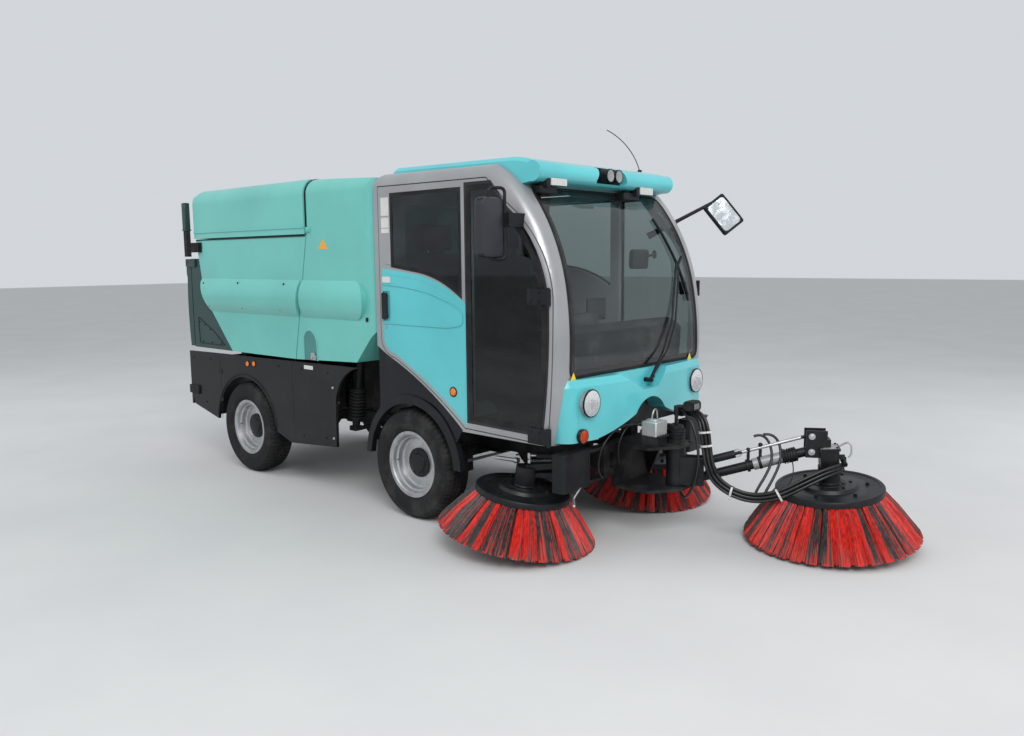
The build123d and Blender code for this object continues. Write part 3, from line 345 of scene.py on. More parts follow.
class Form:
    """A mesh that grows piece by piece, in working millimetres."""

    def __init__(self):
        self.bm = bmesh.new()

    def rows(self, rows):
        return [[self.bm.verts.new(at(*p)) for p in row] for row in rows]

    def face(self, *points):
        self.bm.faces.new(self.rows([points])[0])

    def loops(self, rings, closed=False):
        """Skin through rings of equally many points, capped at its ends unless it closes on itself."""
        made = self.rows(rings)
        for low, high in zip(made, made[1:] + (made[:1] if closed else [])):
            for i in range(len(low)):
                j = (i + 1) % len(low)
                self.bm.faces.new((low[i], low[j], high[j], high[i]))
        if not closed:
            self.bm.faces.new(made[0][::-1])
            self.bm.faces.new(made[-1])
        return self

    def strips(self, rows, closed=False):
        """Skin through rows of points that stay open at their ends."""
        made = self.rows(rows)
        for low, high in zip(made, made[1:] + (made[:1] if closed else [])):
            for i in range(len(low) - 1):
                self.bm.faces.new((low[i], low[i + 1], high[i + 1], high[i]))
        return self

    def box(self, x0, x1, y0, y1, z0, z1, seat=None):
        """A block, in place or in the axes of a seat."""
        rings = [[(x0, y0, z), (x1, y0, z), (x1, y1, z), (x0, y1, z)] for z in (z0, z1)]
        return self.loops([[placed(p, seat) for p in ring] for ring in rings])

    def slab(self, outline, low, high, seat):
        """A flat outline (u, v) of the seat's plane, thick from low to high along its normal."""
        return self.loops([[placed((u, v, w), seat) for u, v in outline] for w in (low, high)])

    def framed(self, outline, width, low, high, place):
        """A frame centred on a closed outline, from low to high, each point put where place(u, v, w) says."""
        outer, inner = widened(outline, width / 2), widened(outline, -width / 2)
        corners = ((outer, low), (outer, high), (inner, high), (inner, low))
        return self.loops([[place(u, v, w) for u, v in ring] for ring, w in corners], closed=True)

    def band(self, outline, width, low, high, seat):
        """A frame in the plane of a seat."""
        return self.framed(outline, width, low, high, lambda u, v, w: placed((u, v, w), seat))

    def lathe(self, profile, seat, steps, closed=False):
        """Rows of (radius, height) turned about the seat's axis."""
        return self.loops([on_ring(steps, max(r, TIP), h, seat) for r, h in profile], closed)

    def rod(self, a, b, r, r2=None, steps=16):
        """A round bar from a to b, tapered where r2 is given."""
        length = (Vector(b) - Vector(a)).length
        return self.lathe([(r, 0), (r if r2 is None else r2, length)], seat_on(a, b), steps)

    def tube(self, points, r, steps, bend=None):
        """A round tube along points, their corners rounded when a bend is given."""
        line = rounded(points, bend) if bend else [Vector(p) for p in points]
        rings = []
        side = None
        for i, p in enumerate(line):
            ahead = (line[min(i + 1, len(line) - 1)] - line[max(i - 1, 0)]).normalized()
            if side is None:
                side = ahead.orthogonal().normalized()
            side = (side - ahead * side.dot(ahead)).normalized()
            up = ahead.cross(side)
            rings.append([p + (side * math.cos(a) + up * math.sin(a)) * r
                          for a in (2 * math.pi * k / steps for k in range(steps))])
        return self.loops(rings)

    def bolt(self, place, normal, r, height):
        """A hexagon head on its washer."""
        seat = seat_on(place, Vector(place) + Vector(normal))
        self.lathe([(r * 1.35, -1), (r * 1.35, 2)], seat, 14)
        return self.lathe([(r, 1), (r, height - 1), (r * 0.85, height)], seat, 6)

    def bolts(self, places, normal, r, height):
        for place in places:
            self.bolt(place, normal, r, height)
        return self

    def ball(self, place, r):
        profile = [(r * math.sin(math.pi * k / 8), -r * math.cos(math.pi * k / 8)) for k in range(9)]
        return self.lathe(profile, Matrix.Translation(place), 14)

    def coil(self, a, b, radius, wire, turns):
        """A spring from a to b."""
        seat = seat_on(a, b)
        length = (Vector(b) - Vector(a)).length
        steps = 14
        points = []
        for k in range(turns * steps + 1):
            angle = 2 * math.pi * k / steps
            rise = length * k / (turns * steps)
            points.append(placed((radius * math.cos(angle), radius * math.sin(angle), rise), seat))
        return self.tube(points, wire, 6)

    def done(self, name, finish, body, bevel=0.0):
        """Ends the mesh as a piece with its finish, on the body that carries it, if one body does."""
        bmesh.ops.recalc_face_normals(self.bm, faces=self.bm.faces)
        mesh = bpy.data.meshes.new(name)
        self.bm.to_mesh(mesh)
        self.bm.free()
        made = new_object(name, mesh)
        mesh.materials.append(FINISHES[finish])
        if bevel:
            edge = made.modifiers.new("bevel", "BEVEL")
            edge.width = bevel / 1000
            edge.segments = 2
            edge.limit_method = "ANGLE"
            edge.angle_limit = math.radians(40)
        mesh.shade_smooth()
        mesh.set_sharp_from_angle(angle=math.radians(42))
        if body:
            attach(made, body)
        return made


def new_object(name, data):
    """An object of the scene round a mesh, a lamp or a camera."""
    made = bpy.data.objects.new(name, data)
    bpy.context.scene.collection.objects.link(made)
    return made


def placed(point, seat):
    """A point of a seat's axes, or the point as it is where there is no seat."""
    return tuple(seat @ Vector(point)) if seat is not None else tuple(point)


def plane(axes, place):
    """A seat at a place, from its three axes."""
    return Matrix.Translation(place) @ Matrix(axes).transposed().to_4x4()


def seat_on(a, b, hint=None):
    """A seat at a whose axis points to b."""
    a, b = Vector(a), Vector(b)
    z = (b - a).normalized()
    x = Vector(hint) if hint is not None else z.orthogonal()
    x = (x - z * x.dot(z)).normalized()
    return plane((x, z.cross(x), z), a)


def outward(x, y, z):
    """A seat on a side wall whose axis points away from the vehicle."""
    return seat_on((x, y, z), (x + (1 if x > 0 else -1), y, z))


def wall(x):
    """The plane of a side wall: u runs backwards and v up, the normal outwards."""
    return plane(((0, 1, 0), (0, 0, 1), (1 if x > 0 else -1, 0, 0)), (x, 0, 0))


def front(y):
    """A plane that faces forward: u runs to +X and v up, the normal forwards."""
    return plane(((1, 0, 0), (0, 0, 1), (0, -1, 0)), (0, y, 0))


def rear(y):
    """A plane that faces backwards: u runs to +X and v up, the normal backwards."""
    return plane(((1, 0, 0), (0, 0, 1), (0, 1, 0)), (0, y, 0))


def on_ring(count, r, h, seat, turn=0.0):
    """Evenly spaced places round a seat's axis, at a radius and a height."""
    angles = [turn + 2 * math.pi * k / count for k in range(count)]
    return [placed((r * math.cos(a), r * math.sin(a), h), seat) for a in angles]


def widened(outline, amount):
    """A closed outline moved outwards by an amount, corners mitred."""
    points = [Vector(p) for p in outline]
    n = len(points)
    area = sum(points[i].x * points[(i + 1) % n].y - points[(i + 1) % n].x * points[i].y for i in range(n))
    turn = 1 if area > 0 else -1
    moved = []
    for i, p in enumerate(points):
        before = (p - points[i - 1]).normalized()
        after = (points[(i + 1) % n] - p).normalized()
        n1 = Vector((before.y, -before.x)) * turn
        n2 = Vector((after.y, -after.x)) * turn
        mid = (n1 + n2).normalized()
        moved.append(p + mid * (amount / max(mid.dot(n1), 0.4)))
    return moved


def curved(start, *legs):
    """A closed outline: each leg is an end point, or a middle and an end point of an arc."""
    points = [Vector(start)]
    for leg in legs:
        if isinstance(leg[0], tuple):
            points += arc(points[-1], Vector(leg[0]), Vector(leg[1]), 8)
        else:
            points.append(Vector(leg))
    return points


def arc(a, m, b, steps):
    """Points after a on the circle through a, m and b."""
    c = circle(a, m, b)
    r = (a - c).length
    start, through, end = (math.atan2((p - c).y, (p - c).x) for p in (a, m, b))
    sweep = (end - start) % (2 * math.pi)
    if (through - start) % (2 * math.pi) > sweep:
        sweep -= 2 * math.pi
    angles = (start + sweep * k / steps for k in range(1, steps + 1))
    return [c + Vector((math.cos(t), math.sin(t))) * r for t in angles]


def circle(a, b, c):
    """The middle of the circle through three flat points."""
    d = 2 * (a.x * (b.y - c.y) + b.x * (c.y - a.y) + c.x * (a.y - b.y))
    x = (a.length_squared * (b.y - c.y) + b.length_squared * (c.y - a.y) + c.length_squared * (a.y - b.y)) / d
    y = (a.length_squared * (c.x - b.x) + b.length_squared * (a.x - c.x) + c.length_squared * (b.x - a.x)) / d
    return Vector((x, y))


def rounded(points, bend):
    """A line through points with each corner swung round by a curve."""
    points = [Vector(p) for p in points]
    steps = 6
    line = [points[0]]
    for before, corner, after in zip(points, points[1:], points[2:]):
        cut = min(bend, (corner - before).length * 0.45, (after - corner).length * 0.45)
        a = corner + (before - corner).normalized() * cut
        b = corner + (after - corner).normalized() * cut
        for k in range(steps + 1):
            t = k / steps
            line.append(a * (1 - t) ** 2 + corner * 2 * t * (1 - t) + b * t ** 2)
    return line + [points[-1]]


def closed_round(corners, r, longest):
    """A closed outline with rounded corners and no straight stretch longer than a limit."""
    points = [Vector(c) for c in corners]
    n = len(points)
    line = []
    for i, p in enumerate(points):
        a = p + (points[i - 1] - p).normalized() * r
        b = p + (points[(i + 1) % n] - p).normalized() * r
        line += [a * (1 - t) ** 2 + p * 2 * t * (1 - t) + b * t ** 2 for t in (0, 0.2, 0.4, 0.6, 0.8, 1.0)]
    full = []
    for i, p in enumerate(line):
        q = line[(i + 1) % len(line)]
        steps = max(1, int((q - p).length / longest))
        full += [p.lerp(q, k / steps) for k in range(steps)]
    return full


def rounded_box(u0, u1, v0, v1, r, longest=400):
    """A rectangle with rounded corners."""
    return closed_round(((u0, v0), (u1, v0), (u1, v1), (u0, v1)), r, longest)


def at_x(x, spots):
    """Places on a side wall, from their (y, z)."""
    return [(x, y, z) for y, z in spots]


def both_sides(build):
    """Calls a builder for the photographed side (-1) and for the other (1)."""
    for s, side in ((-1, "right"), (1, "left")):
        build(s, side)


# Wheels

WHEELS = (("front_right", -1, 0), ("front_left", 1, 0),
          ("rear_right", -1, WHEELBASE), ("rear_left", 1, WHEELBASE))
TREAD_BLOCKS = 62
TREAD_HALF = 62
GROOVE_DEPTH = 8
SIPE_DEPTH = 6.5
TYRE_HALF = 107


def tyre_profile():
    """Half section from the tread's middle to the bead: (radius, distance out, share of a sipe's depth)."""
    tread = []
    for d0, d1, deep in ((0, 6, 1), (8, 27, 0), (29, 37, 1), (39, TREAD_HALF, 0)):
        for d in (d0, d1):
            crown = TYRE_R - 0.4 - (d / TREAD_HALF) ** 2 * 1.5
            tread.append((crown - deep * GROOVE_DEPTH, d, 1 - deep))
    shoulder = [(TYRE_R - 8, 74, 0.9), (354, 84, 0.8), (344, 93, 0.5), (336, 99, 0)]
    side = [(332, 101, 0), (330, 103, 0), (326, 103, 0), (322, 102.5, 0), (300, 105.5, 0),
            (285, TYRE_HALF, 0), (262, 104, 0), (258, 105, 0), (254, 104, 0), (240, 99, 0), (226, 90, 0),
            (221, 82, 0), (RIM_R + 1, 81, 0)]
    return tread + shoulder + side


def tyre(place, s, y):
    """Road tyre: five ribs cut across by sipes, a ribbed shoulder and plain side walls."""
    half = tyre_profile()
    section = [(r, -d, g) for r, d, g in half[::-1]] + half[1:]
    rows = []
    for block in range(TREAD_BLOCKS):
        for share, cut in ((0.0, 0), (0.06, 1), (0.20, 1), (0.26, 0), (0.63, 0)):
            row = []
            for r, d, g in section:
                lag = 0.30 * abs(d) / TREAD_HALF if g else 0
                a = 2 * math.pi * (block + share + lag) / TREAD_BLOCKS
                r -= SIPE_DEPTH * cut * g * (1 if abs(d) > 26 else 0.55)
                row.append((s * (WHEEL_X + d), y + r * math.cos(a), AXLE_Z + r * math.sin(a)))
            rows.append(row)
    made = Form().strips(rows, closed=True).done("tyre_tread_" + place, "tyre", "wheel_" + place)
    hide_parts("tyre_" + place)


def wheel_trim(place, s, y):
    """Hub cap, wheel nuts, vent rims and valve on the pressed steel wheel."""
    body = "wheel_" + place
    seat = seat_on((s * WHEEL_X, y, AXLE_Z), (s * (WHEEL_X + 1), y, AXLE_Z), (0, 0, 1))
    cap = Form().lathe([(0, 44), (40, 43), (62, 38), (66, 30), (88, 27), (97, 24), (99, 15)], seat, 40)
    cap.bolts(on_ring(5, 78, 24, seat), (s, 0, 0), 7, 8)
    cap.done("hub_cap_" + place, "black_plastic", body, 1.0)
    nuts = Form().bolts(on_ring(6, 123, -18, seat, math.pi / 6), (s, 0, 0), 13, 22)
    nuts.lathe([(166, 5), (168.5, 9), (166, 12)], seat, 64)
    nuts.done("wheel_nuts_" + place, "bright_steel", body, 0.8)
    vents = Form()
    for spot in on_ring(12, 158, -12, seat):
        vents.lathe([(9, 10), (9, 16.5)], Matrix.Translation(spot) @ seat.to_3x3().to_4x4(), 14)
    vents.rod(placed((0, 178, 30), seat), placed((0, 172, 62), seat), 4, 3)
    vents.done("wheel_vents_" + place, "rubber", body)


for place, s, y in WHEELS:
    tyre(place, s, y)
    wheel_trim(place, s, y)


# Brushes

# How far below a disc's middle its bristles start, and half the width of one at its root
ROOT_DROP = 18
BRISTLE_HALF = 1.9

# Each with the radius of its disc, the reach and drop of its bristles, and the share of red ones
BRUSHES = (("right", RIGHT_BRUSH, 283, 475, 245, 0.45), ("left", LEFT_BRUSH, 283, 475, 245, 0.55),
           ("outer", OUTER_BRUSH, 305, 500, 275, 0.60))


def bristles(name, seat, r_disc, r_tip, drop, red_share):
    """Bundles of bristles under the disc, some red and some grey, splayed to the road."""
    rows = ((r_disc - 12, r_tip - 4, 54, 52), (r_disc - 44, r_tip - 52, 44, 34),
            (r_disc - 78, r_tip - 96, 40, 24))
    forms = {"red": Form(), "grey": Form()}
    for root, tip, bundles, count in rows:
        fan = 2 * math.pi / bundles
        for bundle in range(bundles):
            tint = "red" if random.random() < red_share else "grey"
            middle = 2 * math.pi * (bundle + random.uniform(-0.2, 0.2)) / bundles
            for _ in range(count):
                near = middle + random.uniform(-0.32, 0.32) * fan
                far = near + random.gauss(0, 0.16) * fan
                reach = tip - abs(random.gauss(0, 15))
                low = drop - random.uniform(0, 12)
                stray = tint if random.random() < 0.93 else ("grey" if tint == "red" else "red")
                strand(forms[stray], seat, (root + random.uniform(-9, 9), near), (reach, far), low,
                       random.uniform(2, 14))
    for tint, form in forms.items():
        form.done("bristles_" + tint + "_" + name, tint + "_bristle", "brush_" + name)


def strand(form, seat, root, tip, drop, bulge):
    """One flat, slightly arched bristle of three sides. Its root and tip are (radius, angle)."""
    rings = []
    for share in (0.0, 0.5, 1.0):
        r = root[0] + (tip[0] - root[0]) * share
        a = root[1] + (tip[1] - root[1]) * share
        h = -ROOT_DROP - (drop - ROOT_DROP) * share + bulge * 4 * share * (1 - share)
        w = BRISTLE_HALF - share * 0.4
        c, s = math.cos(a), math.sin(a)
        ring = [(r * c - w * s, r * s + w * c, h), (r * c + w * s, r * s - w * c, h),
                ((r + w) * c, (r + w) * s, h + w)]
        rings.append([placed(p, seat) for p in ring])
    form.loops(rings)


def brush_top(name, seat, lean, r_disc):
    """Rim and hub ring of the disc, and the bolts that hold them."""
    body = "brush_" + name
    top = Form().lathe([(r_disc - 27, 11), (r_disc - 23, 15.5), (r_disc - 4, 15.5), (r_disc + 1.5, 8),
                        (r_disc + 1.5, -20), (r_disc - 60, -23), (r_disc - 60, -20)], seat, 96)
    top.lathe([(64, 31), (64, 37), (92, 37), (96, 33), (96, 31)], seat, 48)
    top.done("brush_rim_" + name, "black_plastic", body, 0.8)
    bolts = Form().bolts(on_ring(6, 118, 30, seat, 0.3), lean, 9, 9)
    bolts.bolts(on_ring(6, 212, 11, seat, 0.3), lean, 10, 15)
    bolts.bolts(on_ring(4, 80, 37, seat, 0.8), lean, 6, 7)
    bolts.done("brush_bolts_" + name, "black_steel", body)


for name, (centre, lean), r_disc, r_tip, drop, red_share in BRUSHES:
    disc_seat = seat_on(centre, Vector(centre) + Vector(lean))
    bristles(name, disc_seat, r_disc, r_tip, drop, red_share)
    brush_top(name, disc_seat, lean, r_disc)


# Cab

# Three points of the front's lower arc in (y, z), and the end of the upper one that runs on from it
LOW_FRONT = (Vector((-1190, 652)), Vector((-1250, 1080)), Vector((-1222, 1500)))
BROW = Vector((-905, 2125))


def front_circles():
    """Middle and radius of the two arcs of the cab's front."""
    low = circle(*LOW_FRONT)
    end = LOW_FRONT[2]
    ahead = (end - low).normalized()
    chord = BROW - end
    high = end - ahead * (chord.length_squared / (-2 * chord.dot(ahead)))
    return low, (end - low).length, high, (end - high).length


FRONT = front_circles()


def front_y(z):
    """How far forward the windscreen and nose of the cab reach at a height."""
    low, low_r, high, high_r = FRONT
    c, r = (low, low_r) if z < LOW_FRONT[2].y else (high, high_r)
    return c.x - math.sqrt(r * r - (z - c.y) ** 2)


def screen_band(name, corners, width, low, high, finish):
    """A frame that lies on the curved windscreen, along an outline in (x, z)."""
    line = closed_round(corners, 60, 40)
    band = Form().framed(line, width, low, high, lambda x, z, out: (x, front_y(z) - out, z))
    band.done(name, finish, "root")


# Outlines of one door in (y, z)
REAR_PANE = curved((118, 2105), (118, 1657), (-140, 1622), ((-330, 1570), (-500, 1478)), (-500, 2105))
FRONT_PANE = curved((-575, 2105), (-575, 745), (-1105, 735), ((-1140, 1060), (-1146, 1430)),
                    ((-1070, 1710), (-860, 1960)), (-740, 2105))
SKIN = curved((226, 1612), (-130, 1571), ((-330, 1515), (-505, 1425)), ((-524, 1408), (-530, 1385)),
              (-524, 700), ((-200, 916), (104, 1090)), ((180, 1128), (220, 1200)))
SWAGE = ((221, 1537), (5, 1523), (-203, 1496), (-430, 1428), (-516, 1382), (-516, 1302), (-396, 1281),
         (221, 1284))
SIDE_LAMP = (-425, 889)
DOOR_LOCK = (192, 1262)


def door_trim(s, side):
    """Seals and border of the panes, bead and swage of the painted panel, side lamp, labels and lock."""
    x = s * BODY_HALF
    seat = wall(x)
    body = "door_" + side
    rubber = Form().band(REAR_PANE, 22, -5, 3, seat).band(FRONT_PANE, 34, -5, 3.5, seat)
    rubber.done("pane_rubber_" + side, "rubber", body, 1.0)
    black = Form().band(widened(FRONT_PANE, 24), 20, -2, 1.2, seat)
    black.done("pane_frame_" + side, "gloss_black", body)
    Form().band(SKIN, 5, -1, 1.2, seat).done("panel_bead_" + side, "teal_paint", body, 0.6)
    spot = outward(x, *SIDE_LAMP)
    lamp = Form().lathe([(0, 9), (20, 7), (26, 0), (26, -2)], spot, 28)
    lamp.done("side_lamp_" + side, "amber", body)
    ring = Form().lathe([(26, -1), (26, 4), (31, 3), (32, -1)], spot, 28, closed=True)
    ring.done("side_lamp_ring_" + side, "black_plastic", body)
    strip = Form().slab([(119, 2112), (119, 1660), (206, 1671), (206, 2112)], -8, 0.6, seat)
    strip.done("pane_strip_" + side, "silver_paint", body)
    labels = Form()
    for v0, v1, thick in ((1975, 2090, 1.4), (1899, 1963, 1.4), (1866, 1893, 1.4), (1548, 1586, 5)):
        labels.slab([(142, v0), (218, v0), (218, v1), (142, v1)], -1, thick, seat)
    labels.done("door_labels_" + side, "white_plastic", body)
    swage = Form().tube(at_x(s * (BODY_HALF + 3), SWAGE), 3.4, 8, 60)
    swage.done("panel_swage_" + side, "teal_paint", body)
    lock = Form().lathe([(0, 4), (11, 4), (12, -1)], outward(x, *DOOR_LOCK), 20)
    lock.done("door_lock_" + side, "bright_steel", body)


def hinge_screws(s, side):
    spots = [(s * 818, y, z + dz) for z in (706, 1485) for y in (-1130, -1070) for dz in (-24, 24)]
    Form().bolts(spots, (s, 0, 0), 6, 4).done("hinge_screws_" + side, "black_steel", "door_" + side)


both_sides(door_trim)
both_sides(hinge_screws)
screen_band("screen_seal", ((-690, 1032), (690, 1032), (652, 2096), (-652, 2096)), 18, -3, 3, "rubber")
screen_band("screen_border", ((-672, 1052), (672, 1052), (634, 2078), (-634, 2078)), 34, 0.3, 0.9,
            "gloss_black")


def roof_pieces():
    """Black plate round the roof lamps, their rims, the marker lamps, visors and roof marker."""
    plate = Form().slab([(-158, 2146), (158, 2146), (114, 2240), (-114, 2240)], 0, 5, front(-985))
    plate.done("roof_lamp_plate", "black_plastic", "root", 2.0)
    rims = Form()
    for x in (-45, 45):
        seat = seat_on((x, -1060, 2190), (x, -1061, 2190))
        rims.lathe([(36.6, -70), (41, -66), (41, 2), (36.6, 3)], seat, 36, closed=True)
    rims.done("roof_lamp_rims", "black_plastic", "root", 0.8)
    for x0, x1, z0, z1, side in ((-618, -440, 2106, 2148, "right"), (286, 470, 2098, 2142, "left")):
        lamp = Form().box(x0, x0 + 34, -1032, -972, z0 - 14, z1 + 10)
        lamp.box(x0 + 30, x1, -1006, -980, z0 + 4, z1 - 4)
        lamp.done("marker_lamp_" + side, "black_plastic", "root", 5.0)
        lens = Form().box(x0 + 36, x1, -1034, -1004, z0, z1)
        for k in range(6):
            lens.box(x0 + 44 + k * 22, x0 + 46 + k * 22, -1036, -1033, z0 + 5, z1 - 5)
        lens.done("marker_lens_" + side, "pale_lens", "root", 6.0)
    boxes = Form()
    for x0, x1 in ((-640, -494), (180, 350)):
        boxes.box(x0, x1, -1006, -905, 2060, 2104)
    boxes.done("visor_boxes", "black_plastic", "root", 6.0)
    marker = Form().lathe([(52, -6), (52, 8), (44, 14), (20, 19), (0, 20)],
                          Matrix.Translation((-425, -520, 2268)), 32)
    marker.done("roof_marker", "yellow_mark", "root")


roof_pieces()

# Middles of the left headlight and the left indicator
HEADLIGHT = (579, -1320, 886)
INDICATOR = (631, -1304, 703)


def headlight_pieces(s, side):
    """Reflector, ring, lens and ribs of a headlight, and the orange lamp in its cup below it."""
    x, y, z = HEADLIGHT
    x *= s
    seat = seat_on((x, y, z), (x, y - 1, z), (0, 0, 1))
    bowl = Form().lathe([(73.4, 0.5), (73.4, -1.5), (62, -1), (50, -1), (20, -0.6), (0, -0.5)], seat, 48)
    bowl.done("headlight_face_" + side, "reflector", "root")
    ring = Form().lathe([(74.6, -6), (74.6, 3), (79, 2), (81, -6)], seat, 48, closed=True)
    ring.done("headlight_ring_" + side, "black_plastic", "root", 0.8)
    lens = Form().lathe([(73, 1), (72, 4), (60, 10), (40, 15), (0, 18)], seat, 48)
    lens.done("headlight_lens_" + side, "lamp", "root")
    ribs = Form()
    for across in range(-51, 52, 17):
        half = math.sqrt(66 ** 2 - across ** 2)
        ribs.box(x + across - 1.2, x + across + 1.2, y - 4, y - 1, z - half, z + half * 0.3)
    ribs.lathe([(24, 1), (22, 6), (0, 8)], seat, 28)
    ribs.done("headlight_ribs_" + side, "bright_steel", "root")
    x, y, z = INDICATOR
    x *= s
    spot = seat_on((x, y, z), (x, y - 1, z))
    lamp = Form().lathe([(36, -2), (36, 1), (30, 5), (0, 7)], spot, 32)
    for across in range(-24, 25, 12):
        lamp.box(x + across - 1, x + across + 1, y - 8, y - 2, z - 22, z + 22)
    lamp.done("indicator_lens_" + side, "orange_lens", "root")
    cup = Form().lathe([(37, -44), (42, -44), (42, 1), (36.5, 3)], spot, 32, closed=True)
    cup.done("indicator_cup_" + side, "gloss_black", "root", 0.8)


both_sides(headlight_pieces)


def nose_details():
    """Black lining behind the nose's arch, and the two yellow marks on its upper edge."""
    rows = [[(x, front_y(z) - 1.6, z) for x in range(-620, 621, 62)] for z in range(654, 979, 27)]
    Form().strips(rows).done("nose_lining", "black_plastic", "root")
    marks = Form()
    z = 1040
    y = front_y(z) - 7
    for x in (-668, 590):
        marks.face((x - 26, y, z - 18), (x + 26, y, z - 18), (x, y - 2, z + 26))
    marks.done("nose_marks", "yellow_mark", "root")


nose_details()

# The left mirror's middle, the direction of its long side and the one that it faces
LEFT_MIRROR = (Vector((1048, -1238, 1985)), Vector((0.336, -0.526, -0.781)), Vector((-0.738, -0.662, 0.128)))
RIGHT_MIRROR = (-985, -922, 1862)
INSIDE_MIRROR_FOOT = (300, front_y(1712) + 5, 1712)


def outside_mirrors():
    """Glass and rim of both outside mirrors, the root of the left one's arm and the right one's shell."""
    middle, x, z = LEFT_MIRROR
    x, z = x.normalized(), z.normalized()
    x = (x - z * x.dot(z)).normalized()
    seat = plane((x, z.cross(x), z), middle)
    shape = rounded_box(-112, 112, -75, 75, 34)
    Form().slab(shape, 19, 21, seat).done("mirror_glass_left", "mirror_glass", "door_left")
    Form().band(shape, 14, 12, 24, seat).done("mirror_rim_left", "rubber", "door_left", 3.0)
    arm = Form().rod((782, -797, 1842), (900, -978, 1953), 24, 13, 20)
    arm.rod((900, -978, 1953), (1030, -1184, 2078), 13, 11.5, 20)
    arm.done("mirror_arm_left", "black_plastic", "door_left")
    x, y, z = RIGHT_MIRROR
    back = rear(y + 32)
    shape = rounded_box(x - 68, x + 68, z - 142, z + 142, 30)
    Form().slab(shape, -1, 1, back).done("mirror_glass_right", "mirror_glass", "door_right")
    Form().band(shape, 10, -4, 3, back).done("mirror_rim_right", "rubber", "door_right", 2.0)
    rings = []
    for grow, dy in ((0, 28), (3, 10), (3, -14), (-6, -34), (-26, -41)):
        ring = rounded_box(x - 84 - grow, x + 84 + grow, z - 161 - grow, z + 161 + grow, 46)
        rings.append([(p.x, y + dy, p.y) for p in ring])
    Form().loops(rings).done("mirror_shell_right", "grey_shell", "door_right")


def inside_mirror():
    """The cab's own mirror on a ball foot that stands on the windscreen."""
    rings = []
    for grow, y in ((-14, -1128), (0, -1120), (0, -1092), (-10, -1082)):
        ring = closed_round(((112 - grow, 1624 - grow), (288 + grow, 1624 - grow),
                             (296 + grow, 1746 + grow), (120 - grow, 1746 + grow)), 26, 300)
        rings.append([(p.x, y, p.y) for p in ring])
    mirror = Form().loops(rings).rod((240, -1122, 1700), INSIDE_MIRROR_FOOT, 8)
    foot = seat_on(INSIDE_MIRROR_FOOT, (298, front_y(1712) + 60, 1708))
    mirror.lathe([(26, 0), (26, 5), (12, 12)], foot, 24)
    mirror.done("inside_mirror", "black_plastic", "root")


outside_mirrors()
inside_mirror()


def wiper_linkage():
    """Second rod of the wiper's parallel linkage, the blade's holder and the spindle nuts."""
    arm = ((70, -1300, 968), (262, -1290, 1118), (372, -1278, 1290), (520, -1207, 1640))
    link = Form().tube(arm, 6, 10, 30)
    link.rod((35, -1312, 950), (72, -1302, 968), 9)
    link.rod((470, -1210, 1600), (545, -1208, 1700), 9)
    link.bolts(((35, -1318, 950), (70, -1304, 968)), (0, -1, 0), 10, 9)
    link.tube([(560, -1256, 1450), (500, -1204, 1668), (438, -1092, 1900)], 6, 8, 200)
    link.done("wiper_link", "black_steel", "root")


wiper_linkage()

FLOOR_TOP = 695
SEAT_X = 350
COLUMN_TOP = (-350, -660, 1440)


def cab_cloth():
    """Headlining, floor mat, and the seats' seams, belts and headrest rods."""
    Form().box(-640, 640, -760, 240, 2190, 2200).done("headlining", "headlining", "root", 8.0)
    Form().box(-700, 700, -1060, 200, FLOOR_TOP, FLOOR_TOP + 8).done("floor_mat", "floor_mat", "root", 2.0)
    seams, belts, heads = Form(), Form(), Form()
    for x in (-SEAT_X, SEAT_X):
        for dx in (-120, 0, 120):
            seams.tube([(x + dx, -355, 1091), (x + dx, 40, 1091)], 4, 6)
            seams.tube([(x + dx, 52, 1130), (x + dx, 137, 1690)], 4, 6)
        seams.tube([(x - 225, -372, 1040), (x + 225, -372, 1040)], 5, 6)
        belts.box(x + 150, x + 196, 52, 56, 1120, 1124)
        strap = []
        for dx, y, z in ((-215.4, 196, 1640), (-222, 118, 1640), (-40.5, 48, 1330), (141, 28, 1110)):
            edge = x + dx
            strap.append([(edge, y, z), (edge + 44, y, z), (edge + 44, y + 4, z), (edge, y + 4, z)])
        belts.loops(strap)
        for dx in (-70, 70):
            heads.rod((x + dx, 176, 1735), (x + dx, 182, 1775), 7)
    seams.done("seat_seams", "grey_plastic", "root")
    belts.done("seat_belts", "seat_belt", "root")
    heads.done("headrest_rods", "bright_steel", "root")


def cab_controls():
    """Gauges in their pod, console with its two levers, display, pedals and column switches."""
    rings = [[(-560, y, z), (-140, y, z), (-140, y + 20, z + h), (-560, y + 20, z + h)]
             for y, z, h in ((-1060, 1270, 90), (-1000, 1262, 104), (-950, 1240, 84))]
    Form().loops(rings).done("gauge_pod", "dash_plastic", "root", 10.0)
    dials = Form()
    for x in (-470, -350, -230):
        dials.lathe([(44, 0), (44, 7), (38, 9), (0, 8)], seat_on((x, -934, 1290), (x, -910, 1302)), 28)
    dials.done("gauges", "screen_grey", "root")
    console = Form().box(-110, 110, -560, 80, 703, 1010).box(-90, 90, -470, -60, 1008, 1030)
    for x in (-40, 40):
        console.rod((x, -300, 1028), (x, -320, 1130), 9, 8).ball((x, -322, 1146), 24)
    console.done("console", "dash_plastic", "root", 6.0)
    display = Form().box(-60, 130, -905, -885, 1300, 1440).rod((35, -930, 1180), (35, -900, 1310), 12)
    display.done("display", "gloss_black", "root", 6.0)
    pedals = Form()
    for x in (-430, -270):
        pedals.box(x - 35, x + 35, -1000, -985, 740, 840).rod((x, -992, 830), (x, -1040, 960), 9)
    pedals.done("pedals", "rubber", "root", 3.0)
    column = Form().rod((-350, -640, 1465), (-350, -690, 1404), 46, 52, 24)
    for x in (-200, -500):
        column.rod(COLUMN_TOP, (x, -640, 1462), 7)
    column.done("column_switch", "dash_plastic", "root")


cab_cloth()
cab_controls()


